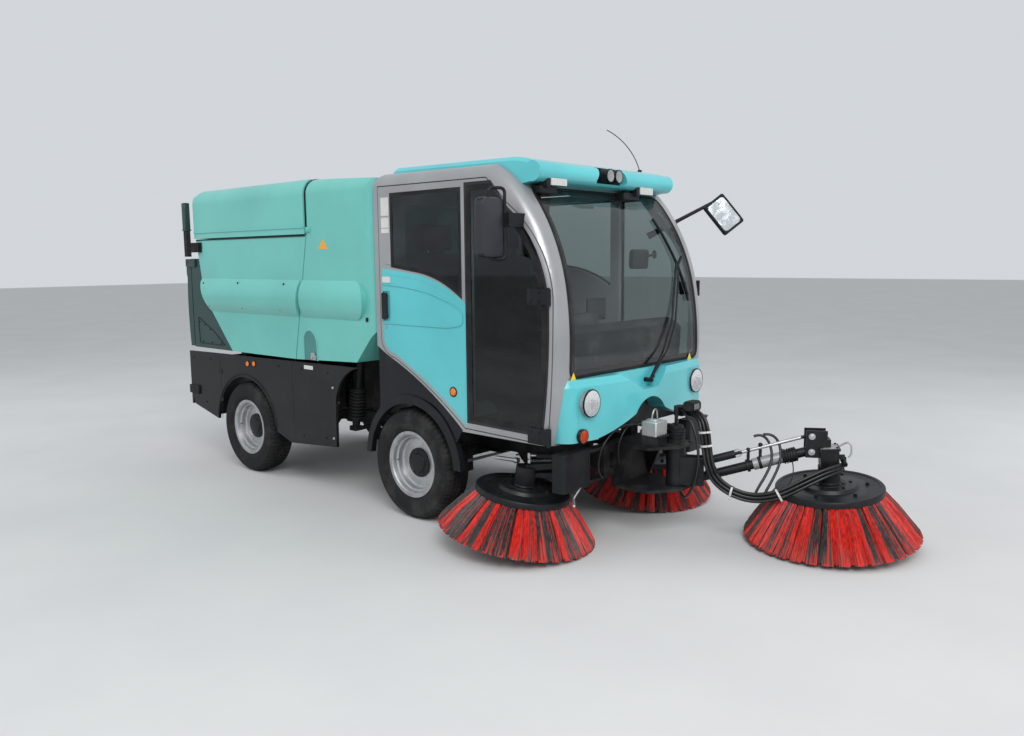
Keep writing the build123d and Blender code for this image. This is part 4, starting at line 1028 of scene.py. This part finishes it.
# Hopper and skirts

HOPPER_TOP = 2268
RIB_X = 812
SEAM_FRONT, SEAM_BACK = 1040, 1057


def hopper_side(s, side):
    """Lip seal under the lid, screws of the raised rib, and the bolted cover panel of one side."""
    x = s * BODY_HALF
    seal = Form().box(x - s * 4, x + s * 5, 1066, 2622, 1866, 1875)
    seal.done("lid_seal_" + side, "rubber", "hopper")
    upper = at_x(s * RIB_X, ((1331, 1524), (1971, 1524), (2504, 1517)))
    lower = at_x(s * RIB_X, ((1386, 1330), (1916, 1328), (2426, 1328)))
    screws = Form().bolts(upper, (s, 0, 0.45), 6, 4).bolts(lower, (s, 0, -0.42), 6, 4)
    screws.done("rib_screws_" + side, "black_steel", "hopper")
    outline = closed_round(((2244, 1010), (2650, 1010), (2660, 1230), (2420, 1120)), 18, 200)
    panel = Form().band(outline, 9, -1, 2.5, wall(x))
    panel.done("cover_panel_" + side, "black_steel", "hopper", 0.8)
    spots = at_x(x, ((2300, 1024), (2450, 1024), (2600, 1024), (2640, 1190), (2560, 1166), (2480, 1130)))
    Form().bolts(spots, (s, 0, 0), 5, 5).done("hopper_bolts_" + side, "black_steel", "hopper")


both_sides(hopper_side)


def section_line(out):
    """The hopper's section in (x, z) from one side over the roof to the other, moved outwards."""
    half, top, r = BODY_HALF + out, HOPPER_TOP + out, 110 + out
    bend = r * 0.29
    return curved((-half, 1934), (-half, top - r), ((-half + bend, top - bend), (-half + r, top)),
                  (half - r, top), ((half - bend, top - bend), (half, top - r)), (half, 1934))


def seam_seal():
    """Black rubber hoop in the gap between the front body and the lid."""
    rings = [[(a.x, SEAM_FRONT, a.y), (a.x, SEAM_BACK, a.y), (b.x, SEAM_BACK, b.y), (b.x, SEAM_FRONT, b.y)]
             for a, b in zip(section_line(4), section_line(-8))]
    Form().loops(rings).done("seam_seal", "rubber", "root", 1.5)


seam_seal()


def front_body_side(s, side):
    """Latch in its niche of painted shade, the lid's catch, the warning triangle, a clip and a blank label.
    """
    x = s * BODY_HALF
    seat = wall(x)
    arch = curved((1132, 978), (1132, 1112), ((1096, 1182), (1052, 1196)), ((994, 1160), (968, 1090)),
                  (964, 978))
    # The niche's recess is a flat sheet of darker teal on the wall, painted shade
    Form().slab(arch, -1, 0.8, seat).done("latch_niche_" + side, "teal_painted_shade", "root")
    lip = Form().tube([(x + s, p.x, p.y) for p in arch], 5, 8)
    lip.done("niche_lip_" + side, "teal_faded", "root")
    latch = Form().box(x - s * 2, x + s * 9, 985, 1046, 980, 1016)
    latch.box(x + s * 2, x + s * 14, 994, 1036, 1000, 1034)
    latch.lathe([(0, 16), (8, 16), (9, 0)], outward(x, 1030, 996), 18)
    latch.done("side_latch_" + side, "bright_steel", "root", 3.0)
    catch = Form().box(x - s * 2, x + s * 9, 1000, 1046, 1892, 1930)
    catch.box(x + s * 3, x + s * 16, 1010, 1034, 1900, 1922)
    catch.done("lid_catch_" + side, "teal_faded", "root", 2.0)
    mark = Form().slab([(806, 1774), (910, 1774), (856, 1844)], -1, 0.8, seat)
    mark.done("warning_mark_" + side, "warning_orange", "root")
    clip = Form().box(x - s * 4, x + s * 8, 378, 398, 1284, 1312)
    clip.done("body_clip_" + side, "black_steel", "root", 1.5)
    label = Form().slab([(1033, 906), (1143, 906), (1143, 934), (1033, 934)], -1, 0.8, seat)
    label.done("side_labels_" + side, "white_plastic", "root")


both_sides(front_body_side)


def skirt_side(s, side):
    """Side lamps, latches, seams, rubber buffer, bolts and arch edge of the black skirt."""
    x = s * BODY_HALF
    lamps, rims = Form(), Form()
    for spot in (outward(x, 1918, 884), outward(x, 1824, 891)):
        lamps.lathe([(0, 8), (17, 6), (22, 0), (22, -2)], spot, 24)
        rims.lathe([(22, -1), (22, 4), (27, 3), (28, -1)], spot, 24, closed=True)
    lamps.done("skirt_lamps_" + side, "amber", "root")
    rims.done("skirt_lamp_rims_" + side, "black_plastic", "root")
    latches = Form()
    for spot in (outward(x, 800, 797), outward(x, 806, 430)):
        latches.lathe([(0, 7), (9, 6), (11, 0), (11, -2)], spot, 18)
    latches.done("skirt_latches_" + side, "bright_steel", "root", 0.8)
    seam = Form().box(x - s, x + s * 0.8, 2341, 2345, 392, 928)
    seam.box(x - s, x + s * 0.8, 1300, 1304, 345, 948)
    for z in (560, 790):
        seam.box(x - s, x + s * 3, 2316, 2370, z - 18, z + 18)
    seam.done("skirt_seams_" + side, "rubber", "root", 0.8)
    buffer = Form().box(x - s * 2, x + s * 15, 2700, 2858, 563, 637)
    buffer.box(min(x, x - s * 95), max(x, x - s * 95), 2844, 2860, 563, 637)
    buffer.done("rear_buffer_" + side, "rubber", "root", 6.0)
    spots = at_x(x, ((860, 900), (1180, 906), (1480, 900), (2500, 880), (2780, 880), (2600, 505),
                     (900, 420), (1180, 400)))
    Form().bolts(spots, (s, 0, 0), 6, 5).done("skirt_bolts_" + side, "black_steel", "root")
    angles = [math.radians(200 - 220 * k / 24) for k in range(25)]
    arch = [(x, WHEELBASE + 438 * math.cos(a), AXLE_Z + 430 * math.sin(a)) for a in angles]
    edge = Form().tube([p for p in arch if p[2] > 400], 7, 8)
    edge.done("arch_edge_" + side, "rubber", "root")


both_sides(skirt_side)


# Rear

REAR_FACE = 2846


def rear_lamps():
    """Tail lamps with red, amber and white fields in a black rim, and a reflector below each."""
    for x, side in ((-765, "right"), (585, "left")):
        red = Form().box(x + 10, x + 88, 2872, 2882, 700, 780)
        for k in range(1, 6):
            red.box(x + 12, x + 86, 2881, 2883, 700 + k * 13.4, 702 + k * 13.4)
        red.done("tail_lens_" + side, "red_lens", "root", 2.0)
        amber = Form().box(x + 92, x + 132, 2872, 2882, 700, 780)
        amber.done("turn_lens_" + side, "amber", "root", 2.0)
        white = Form().box(x + 136, x + 170, 2872, 2882, 700, 780)
        white.done("reverse_lens_" + side, "lamp", "root", 2.0)
        rim = Form().band(rounded_box(x + 3, x + 177, 694, 786, 8), 6, -2, 9, rear(2874))
        rim.done("tail_lamp_rim_" + side, "black_plastic", "root", 1.0)
        spot = seat_on((x + 90, REAR_FACE - 1, 640), (x + 90, REAR_FACE, 640))
        reflector = Form().lathe([(0, 7), (30, 7), (32, 0)], spot, 32)
        reflector.done("rear_reflector_" + side, "red_lens", "root")


def rear_plate():
    """Blank number plate in its frame, and the lamp above it."""
    plate = Form().slab([(-260, 610), (260, 610), (260, 720), (-260, 720)], 1, 4, rear(REAR_FACE))
    plate.done("rear_plate", "white_plastic", "root", 1.0)
    outline = [(-264, 606), (264, 606), (264, 724), (-264, 724)]
    holder = Form().band(outline, 8, 0, 7, rear(REAR_FACE))
    holder.bolts([(x, REAR_FACE + 4, 665) for x in (-230, 230)], (0, 1, 0), 5, 5)
    holder.done("rear_plate_frame", "black_plastic", "root", 1.0)
    Form().box(-60, 60, REAR_FACE, 2870, 738, 762).done("plate_light", "black_plastic", "root", 5.0)


rear_lamps()
rear_plate()

# Three points of the tail door's bowed skin in (y, z)
TAIL_ARC = (Vector((2810, 1560)), Vector((2822, 1250)), Vector((2806, 978)))


def tail_y(z):
    """How far back the tail door's skin reaches at a height."""
    c = circle(*TAIL_ARC)
    r = (TAIL_ARC[0] - c).length
    return c.x + math.sqrt(r * r - (z - c.y) ** 2)


def tail_details():
    """Raised rim and pressed fields, handle, hinge straps, latches and seal of the tail door."""
    rim = Form()
    for outline, width, high in ((rounded_box(-720, 720, 1020, 1550, 50, 60), 24, 5),
                                 (rounded_box(-660, -240, 1110, 1500, 40, 60), 14, 3),
                                 (rounded_box(-210, 210, 1110, 1500, 40, 60), 14, 3),
                                 (rounded_box(240, 660, 1110, 1500, 40, 60), 14, 3)):
        rim.framed(outline, width, -3, high, lambda x, z, out: (x, tail_y(z) + out, z))
    rim.done("tail_rim", "green_plastic", "tail_door", 2.0)
    y = tail_y(1062)
    grip = ((-120, y, 1062), (-120, y + 40, 1062), (120, y + 40, 1062), (120, y, 1062))
    handle = Form().tube(grip, 9, 12, 20)
    for x in (-120, 120):
        handle.lathe([(0, 6), (20, 6), (22, -14)], seat_on((x, y, 1062), (x, y + 1, 1062)), 20)
    handle.done("tail_handle", "black_steel", "tail_door")
    straps, latches = Form(), Form()
    for x in (-560, 560):
        for y, z in ((tail_y(1500), 1500), (tail_y(1555), 1555), (2804, 1610)):
            straps.box(x - 30, x + 30, y - 10, y + 7, z - 24, z + 24)
            straps.bolt((x, y + 6, z), (0, 1, 0), 8, 7)
    straps.done("tail_straps", "black_steel", "tail_door", 1.5)
    y = tail_y(1012)
    for x in (-640, 640):
        latches.box(x - 24, x + 24, y - 8, y + 14, 990, 1040).bolt((x, y + 14, 1015), (0, 1, 0), 9, 9)
    latches.done("tail_latches", "bright_steel", "tail_door", 1.5)
    seal = Form()
    for x in (-776, 776):
        seal.box(x - 6, x + 6, 2736, 2746, 1000, 1690)
    seal.box(-776, 776, 2736, 2746, 1000, 1012)
    seal.done("tail_seal", "rubber", "hopper", 1.0)


def post_head():
    """Green sleeve at the head of the rear post, with the bolts of its clamps."""
    head = Form().box(-842, -796, 2696, 2750, 1960, 2178).box(-846, -792, 2690, 2756, 1950, 1962)
    head.done("post_sleeve", "green_plastic", "hopper", 5.0)
    spots = at_x(-812, ((2600, 1790), (2600, 1830), (2700, 1790), (2700, 1830)))
    Form().bolts(spots, (-1, 0, 0), 6, 5).done("post_bolts", "black_steel", "hopper")


tail_details()
post_head()


def ribbed_strut(s, side):
    """Strut in a ribbed boot between the front body's floor and the rail."""
    x = s * 620
    rows = [(22, 0), (22, 190), (46, 196)]
    for k in range(9):
        rows += [(46, 205 + k * 24), (62, 211 + k * 24), (62, 217 + k * 24), (46, 223 + k * 24)]
    rows += [(46, 430), (30, 440), (26, 478)]
    boot = Form().lathe(rows, seat_on((x, 700, 974), (x, 770, 500)), 28)
    boot.box(x - 34, x + 34, 736, 804, 470, 504)
    boot.box(min(x, s * 306), max(x, s * 306), 752, 788, 468, 492)
    boot.done("ribbed_strut_" + side, "rubber", "root", 1.5)


both_sides(ribbed_strut)


# Brush arms


def brush_arm_details(s, side):
    """Lift cylinder and its rod, peg, return spring and bolts over one side brush."""
    body = "brush_arm_" + side
    can = Form().rod((s * 520, -1130, 545), (s * 640, -960, 545), 20)
    can.rod((s * 512, -1141, 545), (s * 522, -1127, 545), 23)
    can.box(s * 470 - 30, s * 470 + 30, -1205, -1155, 528, 556)
    can.done("lift_cylinder_" + side, "black_steel", body, 1.0)
    rod = Form().rod((s * 640, -960, 545), (s * 664, -926, 545), 8)
    rod.rod((s * 664, -926, 560), (s * 664, -926, 500), 11)
    rod.done("lift_rod_" + side, "bright_steel", body)
    peg = Form().rod((s * 690, -840, 508), (s * 700, -690, 505), 13, 11)
    peg.rod((s * 688, -862, 508), (s * 690, -838, 508), 18)
    peg.done("lift_peg_" + side, "bright_steel", body, 1.0)
    spring = Form().coil((s * 500, -1110, 512), (s * 650, -905, 505), 9, 2, 26)
    spring.done("return_spring_" + side, "spring_steel", body)
    bolts = Form().bolt((s * 470, -1180, 562), (0, 0, 1), 22, 12)
    cap = seat_on((s * 664, -866, 430), (s * 671.4, -880.8, 528))
    bolts.bolts(on_ring(4, 44, 100, cap, math.pi / 4), (0, 0, 1), 7, 7)
    bolts.done("brush_arm_bolts_" + side, "black_steel", body)


def pull_handle():
    """Plated T handle that hangs forward of the right side brush."""
    ends = ((-668, -1252, 384), (-752, -1326, 334))
    line = ((-470, -1202, 500), (-560, -1262, 458), (-640, -1286, 410), (-712, -1290, 360))
    rod = Form().tube(line, 6.5, 12, 60)
    rod.rod(*ends, 8)
    for place in ends:
        rod.ball(place, 9)
    rod.done("pull_handle", "bright_steel", "root")


both_sides(brush_arm_details)
pull_handle()


# Boom

# Directions along the boom and across it, and how far its link lies above the arm
ALONG = Vector((BOOM_END[0] - BOOM_ROOT[0], BOOM_END[1] - BOOM_ROOT[1], 0)).normalized()
ACROSS = Vector((-ALONG.y, ALONG.x, 0))
LINK_RISE = Vector((0, 0, 92))


def boom_tube():
    """Bright sleeve, ribbed boot and clamps on the arm, the link's eye and bar, and the pins at both ends."""
    root, end = Vector(BOOM_ROOT), Vector(BOOM_END)
    line = (end - root).normalized()
    sleeve = Form().rod(root + line * 331, root + line * 504, 35.2, steps=40)
    sleeve.done("boom_sleeve", "silver_paint", "boom_arm", 0.8)
    rows = [(36, 500)]
    for k in range(6):
        rows += [(36, 506 + k * 14), (44, 510 + k * 14), (44, 514 + k * 14), (36, 518 + k * 14)]
    boot = Form().lathe(rows + [(36, 590)], seat_on(root, end), 36)
    boot.done("boom_boot", "rubber", "boom_arm")
    clamps = Form()
    for d, tall in ((300, 62), (372, 74)):
        foot = root + line * d
        clamps.lathe([(29, -9), (38, -9), (38, 9), (29, 9)], seat_on(foot, foot + line), 32, closed=True)
        clamps.box(-9, 9, -7, 7, 30, 30 + tall, seat_on(foot, foot + Vector((0, 0, 1)), ALONG))
        clamps.ball(foot + Vector((0, 0, 34 + tall)), 14)
    clamps.done("boom_clamps", "black_steel", "boom_arm", 1.5)
    low = root + LINK_RISE
    eye_seat = seat_on(low + line * 236, low + line * 236 + ACROSS)
    eye = Form().lathe([(19, -5), (26, -5), (26, 5), (19, 5)], eye_seat, 24, closed=True)
    eye.rod(low + line * 262, low + line * 610, 10.6)
    eye.done("link_eye", "bright_steel", "boom_link")
    pins, heads = Form(), Form()
    for way in (-1, 1):
        for place in (root, low):
            pins.bolt(place + ACROSS * 62 * way * 0.84, ACROSS * way, 16, 12)
        for place in (end, end + LINK_RISE):
            heads.bolt(place + ACROSS * 49 * way, ACROSS * way, 14, 10)
    pins.done("boom_root_pins", "black_steel", "boom_column")
    heads.done("boom_head_pins", "bright_steel", "boom_head")


def brush_motor():
    """Plated top of the outer brush's square motor, its ports and screws, and a hook for the hoses."""
    lean = Vector(OUTER_BRUSH[1]).normalized()
    top = Vector(OUTER_BRUSH[0]) + lean * 250
    seat = seat_on(top, top + lean, ALONG)
    plate = Form().box(-50, 50, -50, 50, -1, 4, seat).box(-30, 8, -22, 22, 4, 9, seat)
    plate.done("motor_plate", "silver_paint", "boom_head", 1.5)
    ports = Form()
    for y in (-24, 24):
        ports.rod(placed((60, y, -70), seat), placed((92, y, -70), seat), 15, 15, 6)
        ports.rod(placed((78, y, -70), seat), placed((78, y - 46, -84), seat), 12)
        ports.rod(placed((78, y - 40, -82), seat), placed((78, y - 58, -88), seat), 15, 15, 6)
    ports.done("motor_ports", "black_steel", "boom_head", 0.8)
    line = ((50, 20, -10), (86, 20, 10), (112, 14, 22), (128, 4, 0), (124, -6, -46), (106, -10, -66))
    hook = Form().tube([placed(p, seat) for p in line], 5, 10, 20)
    hook.done("hose_hook", "spring_steel", "boom_head")
    corners = [placed((x, y, 4), seat) for x in (-42, 42) for y in (-42, 42)]
    Form().bolts(corners, lean, 6, 6).done("motor_screws", "black_steel", "boom_head")


boom_tube()
brush_motor()

WORK_LAMP_Y = -1601


def bracket_details():
    """Cap and ring of the valve block, spool ends, bolts, the work lamp's glass and grille, and post caps."""
    cap = Form().box(-152, -28, -1472, -1368, 640, 729).box(-132, -92, -1455, -1385, 728, 740)
    cap.done("valve_cap", "pale_alloy", "root", 9.0)
    line = ((-120, -1420, 740), (-116, -1424, 775), (-96, -1424, 800), (-70, -1424, 790), (-60, -1420, 742))
    Form().tube(line, 5, 10, 18).done("valve_ring", "bright_steel", "root")
    bolts = Form()
    for x in range(-132, -47, 28):
        bolts.rod((x, -1470, 640), (x, -1486, 640), 9, 9, 6).rod((x, -1484, 640), (x, -1496, 640), 6)
    spots = ((-170, -1230), (-170, -1400), (180, -1230), (176, -1420), (0, -1540), (120, -1540))
    bolts.bolts([(x, y, BRACKET_TOP) for x, y in spots], (0, 0, 1), 9, 8)
    bolts.bolts(on_ring(6, 50, 661, Matrix.Translation((*SLEW, 0))), (0, 0, 1), 6, 6)
    bolts.done("bracket_bolts", "black_steel", "root", 0.6)
    Form().box(55, 121, WORK_LAMP_Y, WORK_LAMP_Y + 11, 792, 828).done("work_lamp_glass", "lamp", "root", 1.5)
    grille = Form()
    for z in range(797, 825, 9):
        grille.box(56, 120, WORK_LAMP_Y - 2, WORK_LAMP_Y, z, z + 2)
    grille.band([(53, 789), (123, 789), (123, 831), (53, 831)], 5, -2, 3, front(WORK_LAMP_Y))
    grille.done("work_lamp_grille", "black_plastic", "root", 0.6)
    posts = Form()
    for s in (-1, 1):
        seat = Matrix.Translation((s * 470, -1180, BRACKET_TOP))
        posts.lathe([(0, 14), (20, 14), (22, 0), (36, 0), (36, -4)], seat, 24)
        spots = ((540, -1190), (590, -1168), (300, -1196), (380, -1168))
        posts.bolts([(s * x, y, BRACKET_TOP) for x, y in spots], (0, 0, 1), 8, 7)
    posts.done("post_caps", "black_steel", "root", 0.8)


bracket_details()


# Hoses


def follow(piece, bend):
    """Bakes a piece's placement into its mesh. The bend, given as (body, start, end), is not used for it, and
    the piece stays on no body.
    """
    at(*bend[1])
    at(*bend[2])
    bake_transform(piece)


def hose(name, body, route, size, bend=None):
    """A free hose along a route of places in working millimetres, with its size as (diameter, length).

    With a bend it becomes a mesh, baked in place and carried by no body.
    """
    diameter, length = size[0] / 1000, size[1]
    curve = bpy.data.curves.new(name, "CURVE")
    curve.dimensions = "3D"
    curve.bevel_depth = diameter / 2
    curve.bevel_resolution = 4
    curve.resolution_u = 10
    line = curve.splines.new("NURBS")
    line.points.add(len(route) - 1)
    for knot, place in zip(line.points, route):
        knot.co = (*at(*place), 1.0)
    line.order_u = 3
    line.use_endpoint_u = True
    curve.materials.append(FINISHES["hose"])
    path = None
    if bend:
        shaped = bpy.data.objects.new(name, curve)
        tube = bpy.data.meshes.new_from_object(shaped)
        curve.bevel_depth = 0.0
        path = [tuple(v.co) for v in bpy.data.meshes.new_from_object(shaped).vertices]
        bpy.data.objects.remove(shaped)
        tube.shade_smooth()
        made = new_object(name, tube)
        follow(made, bend)
    else:
        made = new_object(name, curve)
        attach(made, body)
    at(*route[0])


# Middle line of the five hoses from their manifold to the outer brush, each hose's place (across,
# outwards) beside it, and the first place after the couplings
BUNDLE = ((128, -1500, 765), (120, -1570, 772), (104, -1632, 735), (90, -1660, 660), (86, -1672, 580),
          (84, -1690, 480), (90, -1728, 385), (124, -1820, 316), (168, -1940, 288), (220, -2070, 322),
          (286, -2170, 388), (368, -2268, 452), (440, -2322, 478), (490, -2332, 484))
BUNDLE_SPOTS = ((-11, -22), (-11, 0), (-11, 22), (11, -11), (11, 11))
BUNDLE_JOINT = 6
LIFT_BEND = ("boom_arm", (106, -1625, 740), (86, -1700, 450))
HEAD_BEND = ("boom_head", (100, -1740, 380), (240, -2100, 340))


def beside(across, outwards):
    """The bundle's middle line, moved across the boom and outwards in its own bend."""
    moved = []
    last = len(BUNDLE) - 1
    for i, place in enumerate(BUNDLE):
        ahead = Vector(BUNDLE[min(i + 1, last)]) - Vector(BUNDLE[max(i - 1, 0)])
        out = ACROSS.cross(ahead.normalized())
        moved.append(tuple(Vector(place) + ACROSS * across + out * outwards))
    return moved


def bundle():
    """Five hoses in two lengths each, joined by couplings where they pass the foot of the arm."""
    couplings = Form()
    block = Form().box(96, 160, -1500, -1440, 735, 795).rod((60, -1480, 765), (100, -1480, 765), 12)
    for k, spot in enumerate(BUNDLE_SPOTS):
        route = beside(*spot)
        above, below = route[:BUNDLE_JOINT], route[BUNDLE_JOINT:]
        joint = tuple((Vector(above[-1]) + Vector(below[0])) / 2)
        name = "bundle_hose_%d" % (k + 1)
        hose(name + "_upper", "boom_column", above + [joint], (20, 0.46), LIFT_BEND)
        hose(name + "_lower", "boom_arm", [joint] + below, (20, 0.86), HEAD_BEND)
        profile = [(0, -22), (12, -22), (12.5, -14), (12.5, 14), (12, 22), (0, 22)]
        couplings.lathe(profile, seat_on(joint, below[0]), 20)
        foot = Vector(route[0])
        block.rod(foot + Vector((0, 14, 0)), foot + Vector((0, -22, 1)), 13, 13, 6)
    couplings.done("hose_couplings", "black_steel", "boom_arm")
    for name, spots, body, bend in (("hose_ties_upper", (3, 4), "boom_column", LIFT_BEND),
                                    ("hose_ties_lower", (7, 9), "boom_arm", HEAD_BEND)):
        ties = Form()
        for k in spots:
            seat = seat_on(BUNDLE[k], BUNDLE[k + 1])
            ties.lathe([(35.5, -6), (38.5, -6), (38.5, 6), (35.5, 6)], seat, 28, closed=True)
            ties.box(36, 50, -5, 5, -5, 5, seat)
        follow(ties.done(name, "white_plastic", None), bend)
    block.done("hose_manifold", "black_steel", "root", 1.0)


def with_bundle(route):
    """The bend of a hose from the arm, worked out from where its far end lies along the bundle's bend."""
    first, last = Vector(route[0]), Vector(route[-1])
    start, end = Vector(HEAD_BEND[1]), Vector(HEAD_BEND[2])
    share = (last - start).dot(end - start) / (end - start).length_squared
    return "boom_head", tuple(first), tuple(first + (last - first) / share)


# Hoses that keep still, and hoses that go from the arm into the bundle: name, route and size
FIXED_HOSES = (
    ("loop_hose",
     ((600, -960, 500), (560, -1040, 470), (430, -1200, 350), (280, -1360, 255), (130, -1500, 222),
      (40, -1580, 262), (30, -1640, 380), (40, -1650, 520), (56, -1620, 650), (70, -1560, 745),
      (96, -1490, 772)), (18, 1.48)),
    ("thin_hose_1",
     ((-110, -1370, 690), (-180, -1330, 716), (-330, -1310, 705), (-440, -1290, 620),
      (-450, -1270, 520), (-400, -1235, 440), (-330, -1215, 390)), (10, 0.65)),
    ("thin_hose_2",
     ((-70, -1370, 700), (-110, -1330, 735), (-210, -1305, 700), (-272, -1288, 610),
      (-250, -1270, 510), (-180, -1240, 430), (-110, -1215, 385)), (10, 0.56)))
ARM_HOSES = (
    ("arm_hose_1",
     ((330, -1912, 640), (352, -1950, 650), (372, -2000, 600), (330, -2030, 500), (262, -2020, 412),
      (214, -2004, 350), (196, -1994, 316)), (16, 0.45)),
    ("arm_hose_2",
     ((300, -1868, 628), (322, -1900, 646), (346, -1950, 600), (306, -1990, 500), (240, -1975, 410),
      (194, -1952, 345), (178, -1944, 310)), (16, 0.45)),
    ("arm_cable",
     ((372, -2010, 560), (392, -2050, 540), (380, -2090, 460), (320, -2100, 380), (260, -2080, 355),
      (224, -2064, 338)), (7, 0.34)))

bundle()
for name, route, size in FIXED_HOSES:
    hose(name, "root", route, size)
for name, route, size in ARM_HOSES:
    hose(name, "boom_arm", route, size, with_bundle(route))


# View and light

# The camera, found from the vehicle's own known points in the photograph
EYE = (-4.352, -4.179, 1.695)
YAW, PITCH, ROLL = math.radians(48.111), math.radians(7.377), math.radians(-0.509)


def camera():
    """At the photograph's viewing angle."""
    ahead = Vector((math.sin(YAW) * math.cos(PITCH), math.cos(YAW) * math.cos(PITCH), -math.sin(PITCH)))
    right = Vector((math.cos(YAW), -math.sin(YAW), 0.0))
    up = right.cross(ahead)
    side = right * math.cos(ROLL) + up * math.sin(ROLL)
    top = up * math.cos(ROLL) - right * math.sin(ROLL)
    data = bpy.data.cameras.new("view")
    data.sensor_width = 36.0
    data.lens = 29.69
    data.clip_end = 200.0
    made = new_object("view", data)
    made.matrix_world = plane((side, top, -ahead), EYE)
    bpy.context.scene.camera = made


def floor():
    mesh = bpy.data.meshes.new("floor")
    half = 60.0
    corners = [(-half, -half, 0), (half, -half, 0), (half, half, 0), (-half, half, 0)]
    mesh.from_pydata(corners, [], [(0, 1, 2, 3)])
    f = Finish("floor_pale", Roughness=0.85)
    patches = f.between(f.noise(0.9, 4.0), 0.3, 0.7)
    f.set("Base Color", f.blend(patches, (0.60, 0.60, 0.59), (0.56, 0.56, 0.555)))
    mesh.materials.append(f.material)
    new_object("floor", mesh)


def sky():
    world = bpy.data.worlds.new("sky")
    bpy.context.scene.world = world
    world.use_nodes = True
    background = world.node_tree.nodes["Background"]
    background.inputs["Color"].default_value = (0.86, 0.90, 0.95, 1.0)
    background.inputs["Strength"].default_value = 0.75


def lights():
    """Three square lamps. Only the key shows in gloss, so that flat roofs don't mirror the others."""
    for name, place, aim, power in (("key", (-6.0, -6.5, 7.5), (0, 0, 0.9), 620.0),
                                    ("fill", (5.5, -7.0, 4.0), (0, -1, 0.8), 230.0),
                                    ("rear", (-5.0, 7.0, 6.0), (0, 1, 1.2), 210.0)):
        data = bpy.data.lights.new(name, "AREA")
        data.size = 5.0
        data.energy = power
        made = new_object(name, data)
        made.location = place
        made.visible_glossy = name == "key"
        made.rotation_euler = (Vector(aim) - Vector(place)).to_track_quat("-Z", "Y").to_euler()


camera()
floor()
sky()
lights()
bpy.context.scene.view_settings.view_transform = "Standard"
